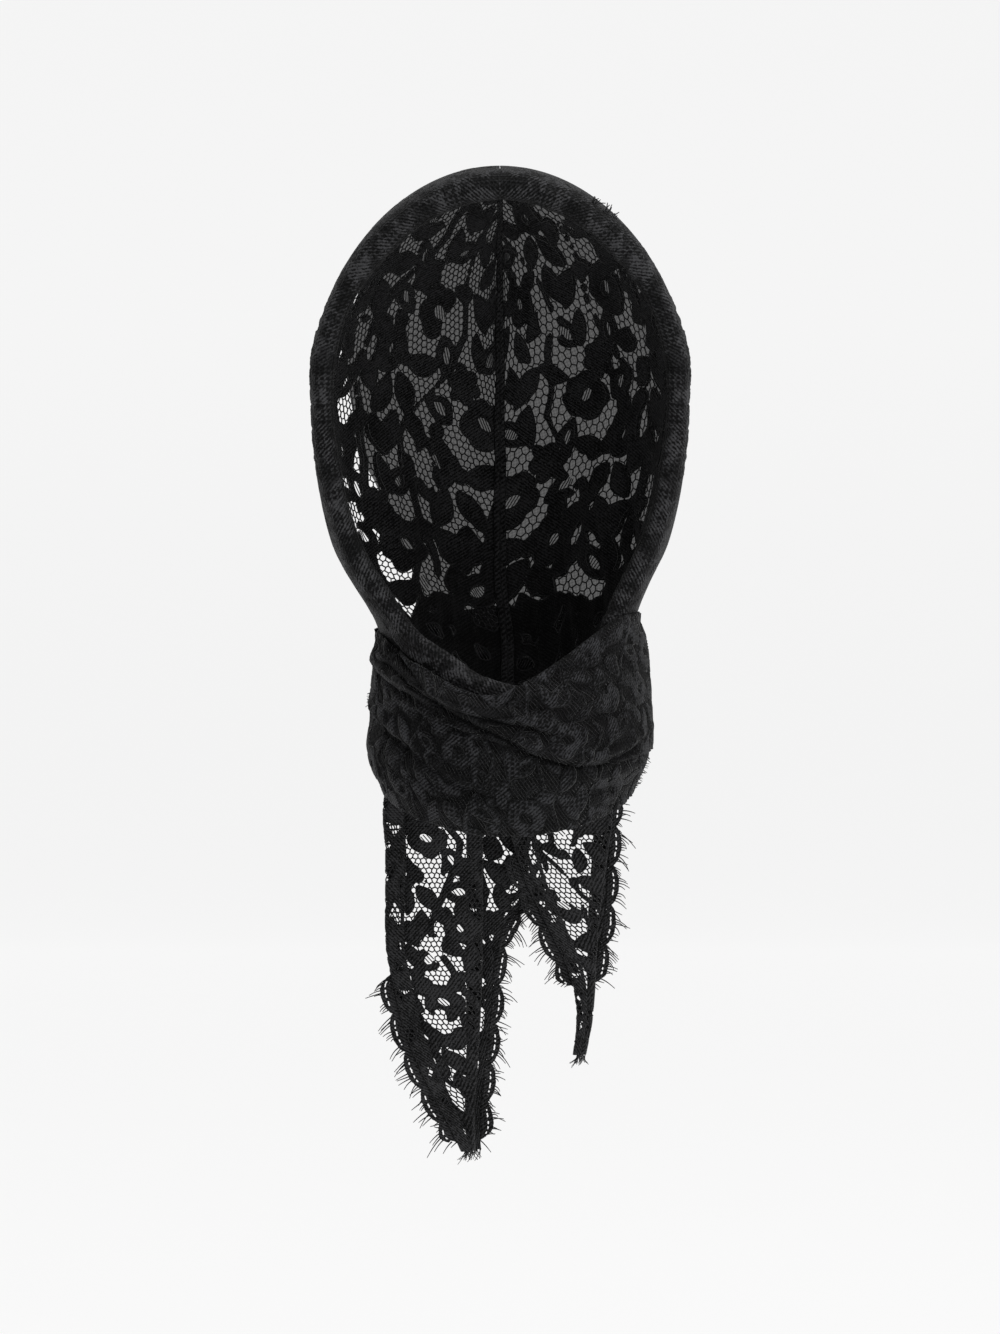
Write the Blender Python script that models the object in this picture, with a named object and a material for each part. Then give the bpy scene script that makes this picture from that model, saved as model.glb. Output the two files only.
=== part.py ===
"""Lace headscarf as it is worn: a hood over the head, wound once round the neck and tied behind.

Two lace panels meet in a seam over the crown and down the back, a tulle lining backs their middle,
a rolled band edges the face opening, three stretches wind round the neck, and the two ends hang from
a knot at the nape with a scalloped border that carries eyelash threads.
Millimetres in the functions below, metres in the meshes. +Z is up, -Y is the wearer's front, +X is
the right of the front view. The origin is where the crown of the head carries the scarf.
"""

import math
from collections import namedtuple

import bmesh
import bpy
import numpy as np

METRES = 0.001

# Cloth
LACE = 1.0  # wall of the lace and of the tulle
BAND = 1.2  # wall of the rolled band and of the wound neck
SEAM = 0.3  # gap between pieces at a seam
LAYER = 0.6  # gap between layers that lie on each other

# Hood: a dome over the widest level and horizontal slices below it
AXIS_Y = -10.0  # the slices' centre, front to back
WIDEST = -103.0
DOME = 102.4  # rise of the dome over the widest level
DOME_POWER = 1.75  # 2 would make the dome an ellipse from the front
CENTRE = (0.0, 10.0, -115.0)  # point inside the head that the panels are seen from
Level = namedtuple("Level", "height half_width front_depth back_depth")
LEVELS = [
    Level(-340, 54, 58, 58),
    Level(-300, 56.5, 58.5, 59.5),
    Level(-262, 58.2, 60.5, 62.5),
    Level(-240, 59.4, 63.5, 66.5),
    Level(-220, 62.6, 74, 74),
    Level(-203, 70.5, 90, 84),
    Level(-185, 78, 104, 94),
    Level(-164, 84, 120, 104),
    Level(-132, 89.5, 135, 114),
    Level(-103, 91.2, 140, 118),
]
NECK_SHIFT = 4.0  # the neck sits this far to the right of the head
SHIFT_FROM, SHIFT_TO = -192.0, -240.0

# Rim of the face opening, seen from the side
Rim = namedtuple("Rim", "height reach")
RIM = [
    Rim(0, -72),
    Rim(-30, -69),
    Rim(-62, -62),
    Rim(-103, -53),
    Rim(-150, -46),
    Rim(-185, -44),
    Rim(-205, -46),
    Rim(-219, -49),
    Rim(-232, -53),
]
OCCIPUT = 0.47  # share of the midline, forehead to nape, where the back panel edge turns down
NAPE_EDGE = -250.0
PANEL_COLS, PANEL_ROWS = 14, 16

# Soft vertical folds where the cloth gathers towards the neck, by angle from the centre back
Fold = namedtuple("Fold", "angle depth half_angle")
HOOD_FOLDS = [
    Fold(15, 3.4, 8),
    Fold(32, -3.4, 8),
    Fold(50, 3.0, 8),
    Fold(68, -3.6, 8),
    Fold(86, 2.4, 8),
]
FOLD_TOP, FOLD_FULL, FOLD_END = -90.0, -180.0, -212.0

# Lace repeat on the panels: every fourth cell has a net window of four open meshes
REPEAT = 4
MESH_SHARE = 0.2  # half an open mesh, in cells

# Rolled band of the face opening
BAND_LEG = 6.5
BAND_TURN = namedtuple("BandTurn", "top side")(5.6, 4.3)  # radius of the roll
BAND_INNER = 4.0
BAND_NARROWS = 1.2

# Wound neck, by angle from the front, positive to the right
Top = namedtuple("Top", "angle height")
NECK_TOP = [
    Top(-180, -212),
    Top(-125, -221),
    Top(-90, -226),
    Top(-70, -228),
    Top(-52, -236),
    Top(-37, -243),
    Top(-24, -251),
    Top(-12, -256),
    Top(-3, -255.5),
    Top(6, -250.5),
    Top(22, -239),
    Top(34, -229),
    Top(46, -221),
    Top(62, -217),
    Top(90, -217),
    Top(125, -215),
    Top(180, -212),
]
BAND_TOP = [  # the left band's line where it runs down the V inside the winding
    Top(-43, -233),
    Top(-36, -237),
    Top(-27, -243),
    Top(-18, -248.5),
    Top(-7, -253.5),
    Top(4, -256),
]
LAP = [  # lower edge of the upper front stretch
    Top(-104, -240),
    Top(-80, -241),
    Top(-60, -248),
    Top(-38, -264),
    Top(-16, -274),
    Top(8, -283),
    Top(24, -289),
    Top(46, -288),
    Top(75, -284),
    Top(104, -281),
]
NECK_CLEAR = 3.2  # the winding starts this far outside the head's form
LAP_UNDER = 12.0  # how far the lower stretch runs up under the upper one
NECK_BOTTOM = namedtuple("Bottom", "front side back")(-323.0, -304.0, -292.0)
NECK_JOIN = 104.0  # the front stretches end at this angle each side
Swell = namedtuple("Swell", "share out")
NECK_SWELL = [Swell(0, -1.0), Swell(0.25, 2.2), Swell(0.55, 5.2), Swell(0.8, 5.6), Swell(1, -0.5)]
Crease = namedtuple("Crease", "angle_a height_a angle_b height_b rise width")
UPPER_CREASES = [
    Crease(-84, -231, -10, -266, 3.0, 3.4),
    Crease(-80, -237, 30, -276, 3.2, 4.0),
    Crease(-30, -252, 58, -262, 3.0, 4.4),
    Crease(2, -258, 76, -240, 2.6, 4.0),
    Crease(24, -276, 74, -268, 2.4, 4.5),
]
LOWER_CREASES = [
    Crease(-92, -268, -20, -290, -3.0, 5.0),
    Crease(-60, -292, 20, -309, -2.6, 5.0),
    Crease(12, -304, 84, -296, -2.8, 4.5),
]
BACK_CREASES = [
    Crease(112, -236, 170, -240, 2.6, 4.5),
    Crease(118, -266, 172, -252, 2.8, 5.0),
    Crease(186, -252, 244, -270, 2.8, 5.0),
    Crease(188, -238, 250, -240, 2.6, 4.5),
]

# Knot at the nape
KNOT = namedtuple("Knot", "x y z half_x half_y half_z")(3.0, 76.3, -234.0, 16.0, 9.0, 15.0)
KNOT_FLAT = -245.0  # the ends leave its flat underside

# Hanging ends: the cloth's zigzag section at each height, left to right
End = namedtuple("End", "height flap left turn back edge")
LEFT_END = [
    End(-245.6, -6.6, -13.5, -0.5, -4.4, 1.0),
    End(-262, -18, -28, -3.5, -8.5, 3),
    End(-282, -35, -44.5, -6.5, -12.5, 8),
    End(-303, -46.5, -57, -8.5, -16, 12),
    End(-340, -47.5, -58, -8.5, -17, 14),
    End(-358, -48, -58, -8.8, -17, 14),
    End(-376, -48.5, -58, -8.8, -17, 1),
    End(-390, -47.5, -57, -8.8, -17, -3),
    End(-406, -44, -53.5, -9.2, -17, -4),
    End(-424, -40, -49, -10, -17, -5.5),
    End(-440, -34, -43, -11, -17, -7.5),
    End(-458, -26, -34.5, -12.2, -17.5, -9.5),
    End(-474, -19.5, -26, -13, -17.6, -10.5),
    End(-488, -14.5, -19.5, -12.4, -16.2, -9.6),
]
RIGHT_END = [
    End(-245.6, 13.5, 6.5, 19.5, 15.6, 21),
    End(-262, 15.5, 6.5, 34, 28, 35),
    End(-282, 17, 5.5, 49, 42.5, 49),
    End(-303, 18, 5.5, 57, 48.5, 56),
    End(-325, 18, 5.5, 56.5, 48, 55.5),
    End(-350, 23, 12.5, 53, 46, 54),
    End(-376, 34, 25, 50, 44.6, 52),
    End(-396, 42, 34.5, 48.6, 44.4, 48),
    End(-410, 44, 38, 47.8, 44, 47),
    End(-424, 43.4, 38.6, 46.4, 43, 46.6),
    End(-439, 41, 37, 43.4, 39.6, 43.6),
]
END_Y = 71.8  # the main layer of an end behind the head
TURN_RADIUS = 1.6  # of a fold in the hanging cloth
END_ROWS = 13
PLEAT_SWAY = 2.2  # how far the hanging cloth waves front to back

# Scalloped border with eyelash threads
SCALLOP_PITCH, SCALLOP_DEPTH = 20.0, 3.8
BORDER_WIDTH = 2.2
LASH_WIDE, LASH_STEP = 0.9, 3.2
LASH_LONG, LASH_SHORT = 8.5, 4.5
Border = namedtuple("Border", "name end side start stop phase skip")
BORDERS = [
    Border("border_left_outer", "left", "left", -398, -484, 0.0, 9),
    Border("border_left_inner", "left", "right", -356, -484, 0.35, 11),
    Border("border_right_outer", "right", "right", -308, -405, 0.2, 8),
    Border("border_right_inner", "right", "left", -336, -405, 0.0, 7),
]


def clear_scene():
    for obj in list(bpy.data.objects):
        bpy.data.objects.remove(obj, do_unlink=True)


def smooth(rows, key, column, at):
    """A table's column at any key, on a cubic through its rows."""
    rows = sorted(rows, key=lambda row: getattr(row, key))
    knots = np.array([getattr(row, key) for row in rows], float)
    values = np.array([getattr(row, column) for row in rows], float)
    slopes = np.gradient(values, knots)
    at = np.clip(np.asarray(at, float), knots[0], knots[-1])
    low = np.clip(np.searchsorted(knots, at) - 1, 0, len(knots) - 2)
    span = knots[low + 1] - knots[low]
    t = (at - knots[low]) / span
    start, end = values[low], values[low + 1]
    rise, fall = slopes[low] * span, slopes[low + 1] * span
    return (
        (2 * t**3 - 3 * t**2 + 1) * start
        + (t**3 - 2 * t**2 + t) * rise
        + (3 * t**2 - 2 * t**3) * end
        + (t**3 - t**2) * fall
    )


def ease(value, start, end):
    t = np.clip((np.asarray(value, float) - start) / (end - start), 0, 1)
    return t * t * (3 - 2 * t)


def unit(vectors):
    return vectors / np.linalg.norm(vectors, axis=-1, keepdims=True)


# ---------------------------------------------------------------- the head's form


def slice_sizes(z, y):
    """Half width and depth of the slice at height z, on the side of y."""
    low = np.minimum(z, WIDEST)
    width = smooth(LEVELS, "height", "half_width", low)
    front = smooth(LEVELS, "height", "front_depth", low)
    back = smooth(LEVELS, "height", "back_depth", low)
    return width, np.where(y < AXIS_Y, front, back)


def form(points):
    """Below 1 inside the head's form and above 1 outside it."""
    x, y, z = points[..., 0], points[..., 1], points[..., 2]
    width, depth = slice_sizes(z, y)
    rise = np.maximum(z - WIDEST, 0) / DOME
    return (x / width) ** 2 + ((y - AXIS_Y) / depth) ** 2 + rise**DOME_POWER


def form_normal(points):
    step = 0.05
    slopes = [form(points + step * axis) - form(points - step * axis) for axis in np.eye(3)]
    return unit(np.stack(slopes, -1))


def cast(directions):
    """Where rays from the head's centre leave its form."""
    near = np.zeros(directions.shape[:-1])
    far = np.full(directions.shape[:-1], 260.0)
    for _ in range(40):
        middle = (near + far) / 2
        inside = form(CENTRE + middle[..., None] * directions) < 1
        near = np.where(inside, middle, near)
        far = np.where(inside, far, middle)
    return CENTRE + near[..., None] * directions


def fold_depth(points):
    """How far the gathers push the cloth out, by angle from the centre back."""
    x, y, z = points[..., 0], points[..., 1], points[..., 2]
    angle = np.degrees(np.arctan2(np.abs(x), y - AXIS_Y))
    depth = sum(f.depth * np.exp(-(((angle - f.angle) / f.half_angle) ** 2)) for f in HOOD_FOLDS)
    return depth * ease(z, FOLD_TOP, FOLD_FULL) * ease(z, FOLD_END, FOLD_FULL)


def lay(points, out):
    """Points of the form, moved out by a distance, with its folds and the neck's shift."""
    normal = form_normal(points)
    laid = points + normal * (np.asarray(out) + fold_depth(points))[..., None]
    laid[..., 0] += NECK_SHIFT * ease(laid[..., 2], SHIFT_FROM, SHIFT_TO)
    return laid


def even(points, share):
    """A path read at even shares of its length."""
    steps = np.linalg.norm(np.diff(points, axis=0), axis=1)
    along = np.concatenate([[0], np.cumsum(steps)])
    return np.stack([np.interp(share * along[-1], along, points[:, k]) for k in range(3)], -1)


def rim_path():
    """The rim on the right side, from the forehead to the side of the neck."""
    low, high = WIDEST, 0.0
    for _ in range(40):
        middle = (low + high) / 2
        reach = float(smooth(RIM, "height", "reach", middle))
        inside = form(np.array([0.0, reach, middle])) < 1
        low, high = (middle, high) if inside else (low, middle)
    z = low + (RIM[-1].height - low) * np.linspace(0, 1, 300) ** 2
    y = smooth(RIM, "height", "reach", z)
    width, depth = slice_sizes(z, y)
    rise = np.maximum(z - WIDEST, 0) / DOME
    left = 1 - ((y - AXIS_Y) / depth) ** 2 - rise**DOME_POWER
    x = width * np.sqrt(np.maximum(left, 0))
    x[0] = 0.0
    return np.stack([x, y, z], -1)


def midline_path():
    """The crown and back line, from the forehead to the nape."""
    start = rim_path()[0]
    first = math.atan2(start[1] - CENTRE[1], start[2] - CENTRE[2])
    last = math.pi - math.atan2(52.0, CENTRE[2] - NAPE_EDGE)
    angle = np.linspace(first, last, 200)
    return cast(np.stack([0 * angle, np.sin(angle), np.cos(angle)], -1))


def nape_path():
    """The panel's lower edge, from the side of the neck to the centre back."""
    corner, back = rim_path()[-1], midline_path()[-1]
    t = np.linspace(0, 1, 100)
    start = math.atan2(corner[0], corner[1] - AXIS_Y)
    angle = start * (1 - t)
    z = corner[2] + (back[2] - corner[2]) * ease(t, 0, 0.8)
    width, depth = slice_sizes(z, AXIS_Y + np.cos(angle))
    radius = ((np.sin(angle) / width) ** 2 + (np.cos(angle) / depth) ** 2) ** -0.5
    return np.stack([radius * np.sin(angle), AXIS_Y + radius * np.cos(angle), z], -1)


class Panel:
    """Half of the hood. u runs from the rim to the centre back, v from the crown to the neck."""

    def __init__(self):
        midline = midline_path()
        share = np.linspace(0, 1, 121)
        self.share = share
        self.rim = self.seen(even(rim_path(), share))
        self.back = self.seen(even(midline, OCCIPUT + (1 - OCCIPUT) * share))
        self.crown = self.seen(even(midline, OCCIPUT * share))
        self.nape = self.seen(even(nape_path(), share))

    def seen(self, points):
        return unit(points - np.array(CENTRE))

    def edge(self, curve, t):
        return np.stack([np.interp(t, self.share, curve[:, k]) for k in range(3)], -1)

    def on_form(self, u, v):
        """A point of the form, blended between the panel's four edges."""
        u, v = np.asarray(u, float), np.asarray(v, float)
        a, b = u[..., None], v[..., None]
        sides = (1 - a) * self.edge(self.rim, v) + a * self.edge(self.back, v)
        ends = (1 - b) * self.edge(self.crown, u) + b * self.edge(self.nape, u)
        corners = (
            (1 - a) * (1 - b) * self.rim[0]
            + (1 - a) * b * self.rim[-1]
            + a * (1 - b) * self.back[0]
            + a * b * self.back[-1]
        )
        return cast(unit(sides + ends - corners))

    def at(self, u, v, out, side):
        """A point of the left (side -1) or right (side 1) panel, moved out of the form."""
        points = self.on_form(u, v)
        normal = form_normal(points)
        mirror = np.array([side, 1.0, 1.0])
        laid = (points + normal * (out + fold_depth(points))[..., None]) * mirror
        laid[..., 0] += side * SEAM / 2
        laid[..., 0] += NECK_SHIFT * ease(laid[..., 2], SHIFT_FROM, SHIFT_TO)
        return laid


# ---------------------------------------------------------------- meshes


def make_object(name, points, faces, material):
    """A closed mesh from millimetre points, its faces turned outwards."""
    mesh = bpy.data.meshes.new(name)
    mesh.from_pydata([tuple(p) for p in np.asarray(points) * METRES], [], faces)
    work = bmesh.new()
    work.from_mesh(mesh)
    bmesh.ops.recalc_face_normals(work, faces=work.faces)
    work.to_mesh(mesh)
    work.free()
    mesh.shade_smooth()
    mesh.set_sharp_from_angle(angle=math.radians(50))
    mesh.materials.append(material)
    obj = bpy.data.objects.new(name, mesh)
    bpy.context.scene.collection.objects.link(obj)
    return obj


def lace_cells(cols, rows, windows):
    """Vertices (in cells) and faces of a grid whose window cells hold four open meshes each."""
    index, vertices, faces = {}, [], []

    def vertex(u, v):
        key = (round(u * 20), round(v * 20))
        if key not in index:
            index[key] = len(vertices)
            vertices.append((u, v))
        return index[key]

    for i, j in windows:
        for a in (i, i + 0.5):
            for b in (j, j + 0.5):
                centre_u, centre_v = a + 0.25, b + 0.25
                ring = []
                for k in range(6):
                    turn = math.radians(60 * k)
                    ring.append(
                        vertex(centre_u + MESH_SHARE * math.cos(turn), centre_v + MESH_SHARE * math.sin(turn))
                    )
                low_low, high_low = vertex(a, b), vertex(a + 0.5, b)
                high_high, low_high = vertex(a + 0.5, b + 0.5), vertex(a, b + 0.5)
                faces.append((high_low, high_high, ring[1], ring[0], ring[5]))
                faces.append((high_high, low_high, ring[2], ring[1]))
                faces.append((low_high, low_low, ring[4], ring[3], ring[2]))
                faces.append((low_low, high_low, ring[5], ring[4]))
    for i in range(cols):
        for j in range(rows):
            if (i, j) in windows:
                continue
            corners = [(i, j), (i + 1, j), (i + 1, j + 1), (i, j + 1)]
            face = []
            for (u, v), (next_u, next_v) in zip(corners, corners[1:] + corners[:1]):
                middle_u, middle_v = (u + next_u) / 2, (v + next_v) / 2
                face.append(vertex(u, v))
                if (round(middle_u * 20), round(middle_v * 20)) in index:
                    face.append(vertex(middle_u, middle_v))
            faces.append(tuple(face))
    return np.array(vertices, float), faces


def wall(name, outer, inner, faces, material):
    """A wall between two skins with the same faces, closed along every open edge."""
    count = len(outer)
    walls = [tuple(face) for face in faces]
    walls += [tuple(count + k for k in reversed(face)) for face in faces]
    edges = {}
    for face in faces:
        for a, b in zip(face, face[1:] + face[:1]):
            edges[(a, b)] = edges.get((a, b), 0) + 1
    for a, b in edges:
        if (b, a) not in edges:
            walls.append((b, a, count + a, count + b))
    return make_object(name, np.concatenate([outer, inner]), walls, material)


def sweep(name, sections, material):
    """A tube of closed sections, capped at both ends."""
    sections = np.asarray(sections)
    stations, around = sections.shape[:2]
    faces = [tuple(reversed(range(around)))]
    for s in range(stations - 1):
        for k in range(around):
            n = (k + 1) % around
            faces.append((s * around + k, s * around + n, (s + 1) * around + n, (s + 1) * around + k))
    faces.append(tuple((stations - 1) * around + k for k in range(around)))
    return make_object(name, sections.reshape(-1, 3), faces, material)


def material(name, colour, roughness):
    made = bpy.data.materials.new(name)
    made.use_nodes = True
    shader = made.node_tree.nodes["Principled BSDF"]
    shader.inputs["Base Color"].default_value = (*colour, 1)
    shader.inputs["Roughness"].default_value = roughness
    shader.inputs["Metallic"].default_value = 0.0
    return made


# ---------------------------------------------------------------- hood


def panel_windows():
    """The net windows of the lace repeat, half-dropped from one column to the next."""
    found = set()
    for i in range(1, PANEL_COLS - 1, REPEAT - 1):
        drop = 2 * ((i // (REPEAT - 1)) % 2)
        for j in range(2 + drop, PANEL_ROWS - 3, REPEAT):
            found.add((i, j))
    return found


def make_hood(panel, lace):
    cells, faces = lace_cells(PANEL_COLS, PANEL_ROWS, panel_windows())
    u, v = cells[:, 0] / PANEL_COLS, cells[:, 1] / PANEL_ROWS
    for name, side in (("hood_left", -1), ("hood_right", 1)):
        outer = panel.at(u, v, np.full(len(u), LACE), side)
        inner = panel.at(u, v, np.zeros(len(u)), side)
        wall(name, outer, inner, faces, lace)


LINING_FROM = namedtuple("LiningFrom", "left right")(6, 5)  # the first panel column it backs
LINING_GAP = 1.0  # the tulle hangs a little free of the lace


def make_lining(panel, tulle):
    for name, side, first in (("lining_left", -1, LINING_FROM.left), ("lining_right", 1, LINING_FROM.right)):
        cells, faces = lace_cells(PANEL_COLS - first, PANEL_ROWS, set())
        u, v = (cells[:, 0] + first) / PANEL_COLS, cells[:, 1] / PANEL_ROWS
        outer = panel.at(u, v, np.full(len(u), -LINING_GAP), side)
        inner = panel.at(u, v, np.full(len(u), -LINING_GAP - LACE), side)
        wall(name, outer, inner, faces, tulle)


SEAM_HALF = 4.0
SEAM_STATIONS = 30


def make_back_seam(band):
    """The seam allowance, pressed flat over the joint from the crown to the nape."""
    line = even(midline_path(), np.linspace(0.12, 0.985, SEAM_STATIONS))
    normal = form_normal(line)
    sections = []
    for point, out in zip(line, normal):
        near = -LINING_GAP - LACE - LAYER
        far = near - LACE
        shift = np.array([NECK_SHIFT * float(ease(point[2], SHIFT_FROM, SHIFT_TO)), 0, 0])
        across = np.array([SEAM_HALF, 0, 0])
        fold = fold_depth(point[None])[0]
        inner, outer = point + out * (far + fold) + shift, point + out * (near + fold) + shift
        sections.append([inner - across, inner + across, outer + across, outer - across])
    sweep("back_seam", sections, band)


# ---------------------------------------------------------------- rolled band


def band_section(radius):
    """The rolled edge's wall in (forward, out), from its outer leg round to its inner one."""
    middle = BAND / 2
    top = LACE + LAYER + middle
    turn = np.radians(np.linspace(90, -90, 5))
    line = [(-BAND_LEG, top)]
    line += [(radius * math.cos(a), top - radius + radius * math.sin(a)) for a in turn]
    line.append((-BAND_INNER, top - 2 * radius))
    line = np.array(line)
    along = unit(np.gradient(line, axis=0))
    across = np.stack([-along[:, 1], along[:, 0]], -1) * middle
    return np.concatenate([line + across, (line - across)[::-1]])


def band_radii(path):
    """Wide over the forehead, narrow down the sides and narrowest inside the winding."""
    z = path[:, 2]
    radii = BAND_TURN.top + (BAND_TURN.side - BAND_TURN.top) * ease(z, -20, -75)
    return radii - BAND_NARROWS * ease(z, -205, -240)


def sweep_band(name, path, outward, radii, material_):
    """The rolled edge along a path; outward points away from the head."""
    tangent = unit(np.gradient(path, axis=0))
    tangent[0] = (math.copysign(1, tangent[0, 0]), 0, 0)
    outward = unit(outward - (outward * tangent).sum(1)[:, None] * tangent)
    forward = np.cross(tangent, outward)
    if forward[len(forward) // 3, 1] > 0:
        forward = -forward
    sections = []
    for point, out, ahead, radius in zip(path, outward, forward, radii):
        sections.append([point + f * ahead + n * out for f, n in band_section(radius)])
    sweep(name, sections, material_)


def make_bands(neck, band):
    """The right half ends behind the winding; the left one runs on down the V inside it."""
    rim = rim_path()
    stations = 22
    right = even(rim, np.linspace(0, 0.99, stations))
    laid = lay(right, np.zeros(stations))
    laid[:, 0] += SEAM / 2
    sweep_band("band_right", laid, form_normal(right), band_radii(laid), band)
    left = even(rim, np.linspace(0, 0.985, stations))
    mirrored = left * (-1, 1, 1)
    normal = form_normal(mirrored)
    laid = lay(mirrored, np.zeros(stations))
    laid[:, 0] -= SEAM / 2
    angle = np.linspace(BAND_TOP[0].angle, BAND_TOP[-1].angle, 12)
    height = smooth(BAND_TOP, "angle", "height", angle)
    front = neck.at(angle, height, -2.4 * ease(angle, -46, -34))
    outward = neck.outward(angle)
    path = np.concatenate([laid, front])
    out = np.concatenate([normal, outward])
    share = np.linspace(0, 1, 31)
    steps = np.linalg.norm(np.diff(path, axis=0), axis=1)
    along = np.concatenate([[0], np.cumsum(steps)]) / steps.sum()
    path = np.stack([np.interp(share, along, path[:, k]) for k in range(3)], -1)
    out = np.stack([np.interp(share, along, out[:, k]) for k in range(3)], -1)
    sweep_band("band_left", path, unit(out), band_radii(path), band)


# ---------------------------------------------------------------- wound neck


class Neck:
    """The cloth wound round the neck, by angle from the front and by height."""

    def outward(self, angle):
        turn = np.radians(angle)
        return np.stack([np.sin(turn), -np.cos(turn), 0 * turn], -1)

    def radius(self, angle, height):
        turn = np.radians(angle)
        width, depth = slice_sizes(height, np.where(np.cos(turn) > 0, AXIS_Y - 1, AXIS_Y + 1))
        return ((np.sin(turn) / width) ** 2 + (np.cos(turn) / depth) ** 2) ** -0.5

    def top(self, angle):
        wrapped = (np.asarray(angle, float) + 180) % 360 - 180
        return smooth(NECK_TOP, "angle", "height", wrapped)

    def bottom(self, angle):
        turn = np.cos(np.radians(angle))
        low = np.where(turn > 0, NECK_BOTTOM.front, NECK_BOTTOM.back)
        return NECK_BOTTOM.side + (low - NECK_BOTTOM.side) * np.abs(turn) ** 1.6

    def swell(self, angle, height):
        """How far the winding stands out between its upper and lower edge."""
        top, bottom = self.top(angle), self.bottom(angle)
        share = np.clip((top - height) / (top - bottom), 0, 1)
        return smooth(NECK_SWELL, "share", "out", share)

    def lap(self, angle):
        return smooth(LAP, "angle", "height", angle)

    def at(self, angle, height, out):
        radius = self.radius(angle, np.maximum(height, -305.0)) + out
        point = np.array([0, AXIS_Y, 0]) + radius[..., None] * self.outward(angle)
        point[..., 2] = height
        point[..., 0] += NECK_SHIFT * ease(height, SHIFT_FROM, SHIFT_TO)
        return point

    def upper_out(self, angle, height):
        """Inner side of the upper stretch: clear of the lower one, and of the panels above it."""
        return NECK_CLEAR + self.swell(angle, height) + BAND + LAYER


def creases(rows, angle, height):
    """Soft folds between two points each, highest at their middle."""
    rise = 0 * angle
    for row in rows:
        start = np.array([row.angle_a, row.height_a], float)
        run = np.array([row.angle_b, row.height_b], float) - start
        share = ((angle - start[0]) * run[0] + (height - start[1]) * run[1]) / (run @ run)
        share = np.clip(share, 0, 1)
        off_angle = (angle - start[0] - share * run[0]) * 1.15
        off_height = height - start[1] - share * run[1]
        away = np.hypot(off_angle, off_height)
        ends = np.sin(math.pi * np.clip(share, 0.08, 0.92))
        rise = rise + row.rise * ends * np.exp(-((away / row.width) ** 2))
    return rise


def wind(name, neck, angles, rows, top, bottom, out, folds, cloth):
    """A wall of the winding between two edges; folds move both its skins together."""
    cells, faces = lace_cells(len(angles) - 1, rows, set())
    angle = np.interp(cells[:, 0], np.arange(len(angles)), angles)
    share = cells[:, 1] / rows
    height = top(angle) + (bottom(angle) - top(angle)) * share
    inner = out(angle, height) + creases(folds, angle, height)
    wall(name, neck.at(angle, height, inner + BAND), neck.at(angle, height, inner), faces, cloth)


def make_neck(neck, lace):
    front = np.linspace(-NECK_JOIN + 0.3, NECK_JOIN - 0.3, 31)
    back = np.linspace(NECK_JOIN + 0.3, 360 - NECK_JOIN - 0.3, 21)

    def lower_top(angle):
        return np.minimum(neck.lap(angle) + LAP_UNDER, neck.top(angle) - 3.0)

    def lower_out(angle, height):
        return NECK_CLEAR + neck.swell(angle, height)

    wind("neck_lower", neck, front, 6, lower_top, neck.bottom, lower_out, LOWER_CREASES, lace)
    wind("neck_upper", neck, front, 9, neck.top, neck.lap, neck.upper_out, UPPER_CREASES, lace)
    wind(
        "neck_back", neck, back, 7, neck.top, neck.bottom,
        lambda angle, height: NECK_CLEAR + neck.swell(angle, height) + LAYER, BACK_CREASES, lace,
    )


# ---------------------------------------------------------------- knot


def make_knot(lace):
    """The half knot: a rounded lump with three slanting folds and a flat underside."""
    around, rings = 18, 9
    points, faces = [(0, 0, KNOT.half_z)], []
    for r in range(1, rings):
        tilt = math.pi * r / rings
        for k in range(around):
            turn = 2 * math.pi * k / around
            groove = 1 - 0.07 * math.cos(3 * turn + 2.2 * math.cos(tilt)) * math.sin(tilt)
            x = KNOT.half_x * math.sin(tilt) ** 0.8 * math.cos(turn) * groove
            y = KNOT.half_y * math.sin(tilt) ** 0.8 * math.sin(turn) * groove
            points.append((x, y, KNOT.half_z * math.cos(tilt)))
    points.append((0, 0, -KNOT.half_z))
    for k in range(around):
        n = (k + 1) % around
        faces.append((0, 1 + k, 1 + n))
        for r in range(rings - 2):
            a = 1 + r * around
            faces.append((a + k, a + around + k, a + around + n, a + n))
        last = 1 + (rings - 2) * around
        faces.append((last + k, len(points) - 1, last + n))
    placed = np.array(points, float) + (KNOT.x, KNOT.y, KNOT.z)
    placed[:, 2] = np.maximum(placed[:, 2], KNOT_FLAT)
    make_object("knot", placed, faces, lace)


# ---------------------------------------------------------------- hanging ends


class HangingEnd:
    """One end of the scarf: a turned flap, the main width, a pleat and the bordered edge."""

    def __init__(self, rows):
        self.rows = rows
        self.top, self.tip = rows[0].height, rows[-1].height

    def columns(self, height):
        return [smooth(self.rows, "height", name, height) for name in End._fields[1:]]

    def depth(self, x, height):
        """The wave of the hanging cloth, and the lean of its lower part towards the neck."""
        wave = PLEAT_SWAY * np.sin(x / 15.0 + height / 46.0) * ease(height, -262, -320)
        return END_Y + wave - 7.0 * ease(height, -300, -470)

    def section(self, height):
        """The zigzag's middle line at one height: (x, layer) from the flap to the edge."""
        flap, left, turn, back, edge = self.columns(height)
        r = TURN_RADIUS
        arc = np.radians(np.array([60.0, 0.0, -60.0]))
        line = [(flap, -2 * r), (left + r + 0.4 * (flap - left - r), -2 * r)]
        line += [(left + r - r * math.cos(a), -r - r * math.sin(a)) for a in arc]
        for share in (0.0, 0.2, 0.4, 0.6, 0.8, 1.0):
            line.append((left + r + (turn - left - 2 * r) * share, 0.0))
        line += [(turn - r + r * math.cos(a), r - r * math.sin(a)) for a in arc]
        line += [(back + r - r * math.cos(a), 3 * r - r * math.sin(a)) for a in arc]
        line += [(back + r + 0.6 * (edge - back - r), 4 * r), (edge, 4 * r)]
        return np.array(line, float)


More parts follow.
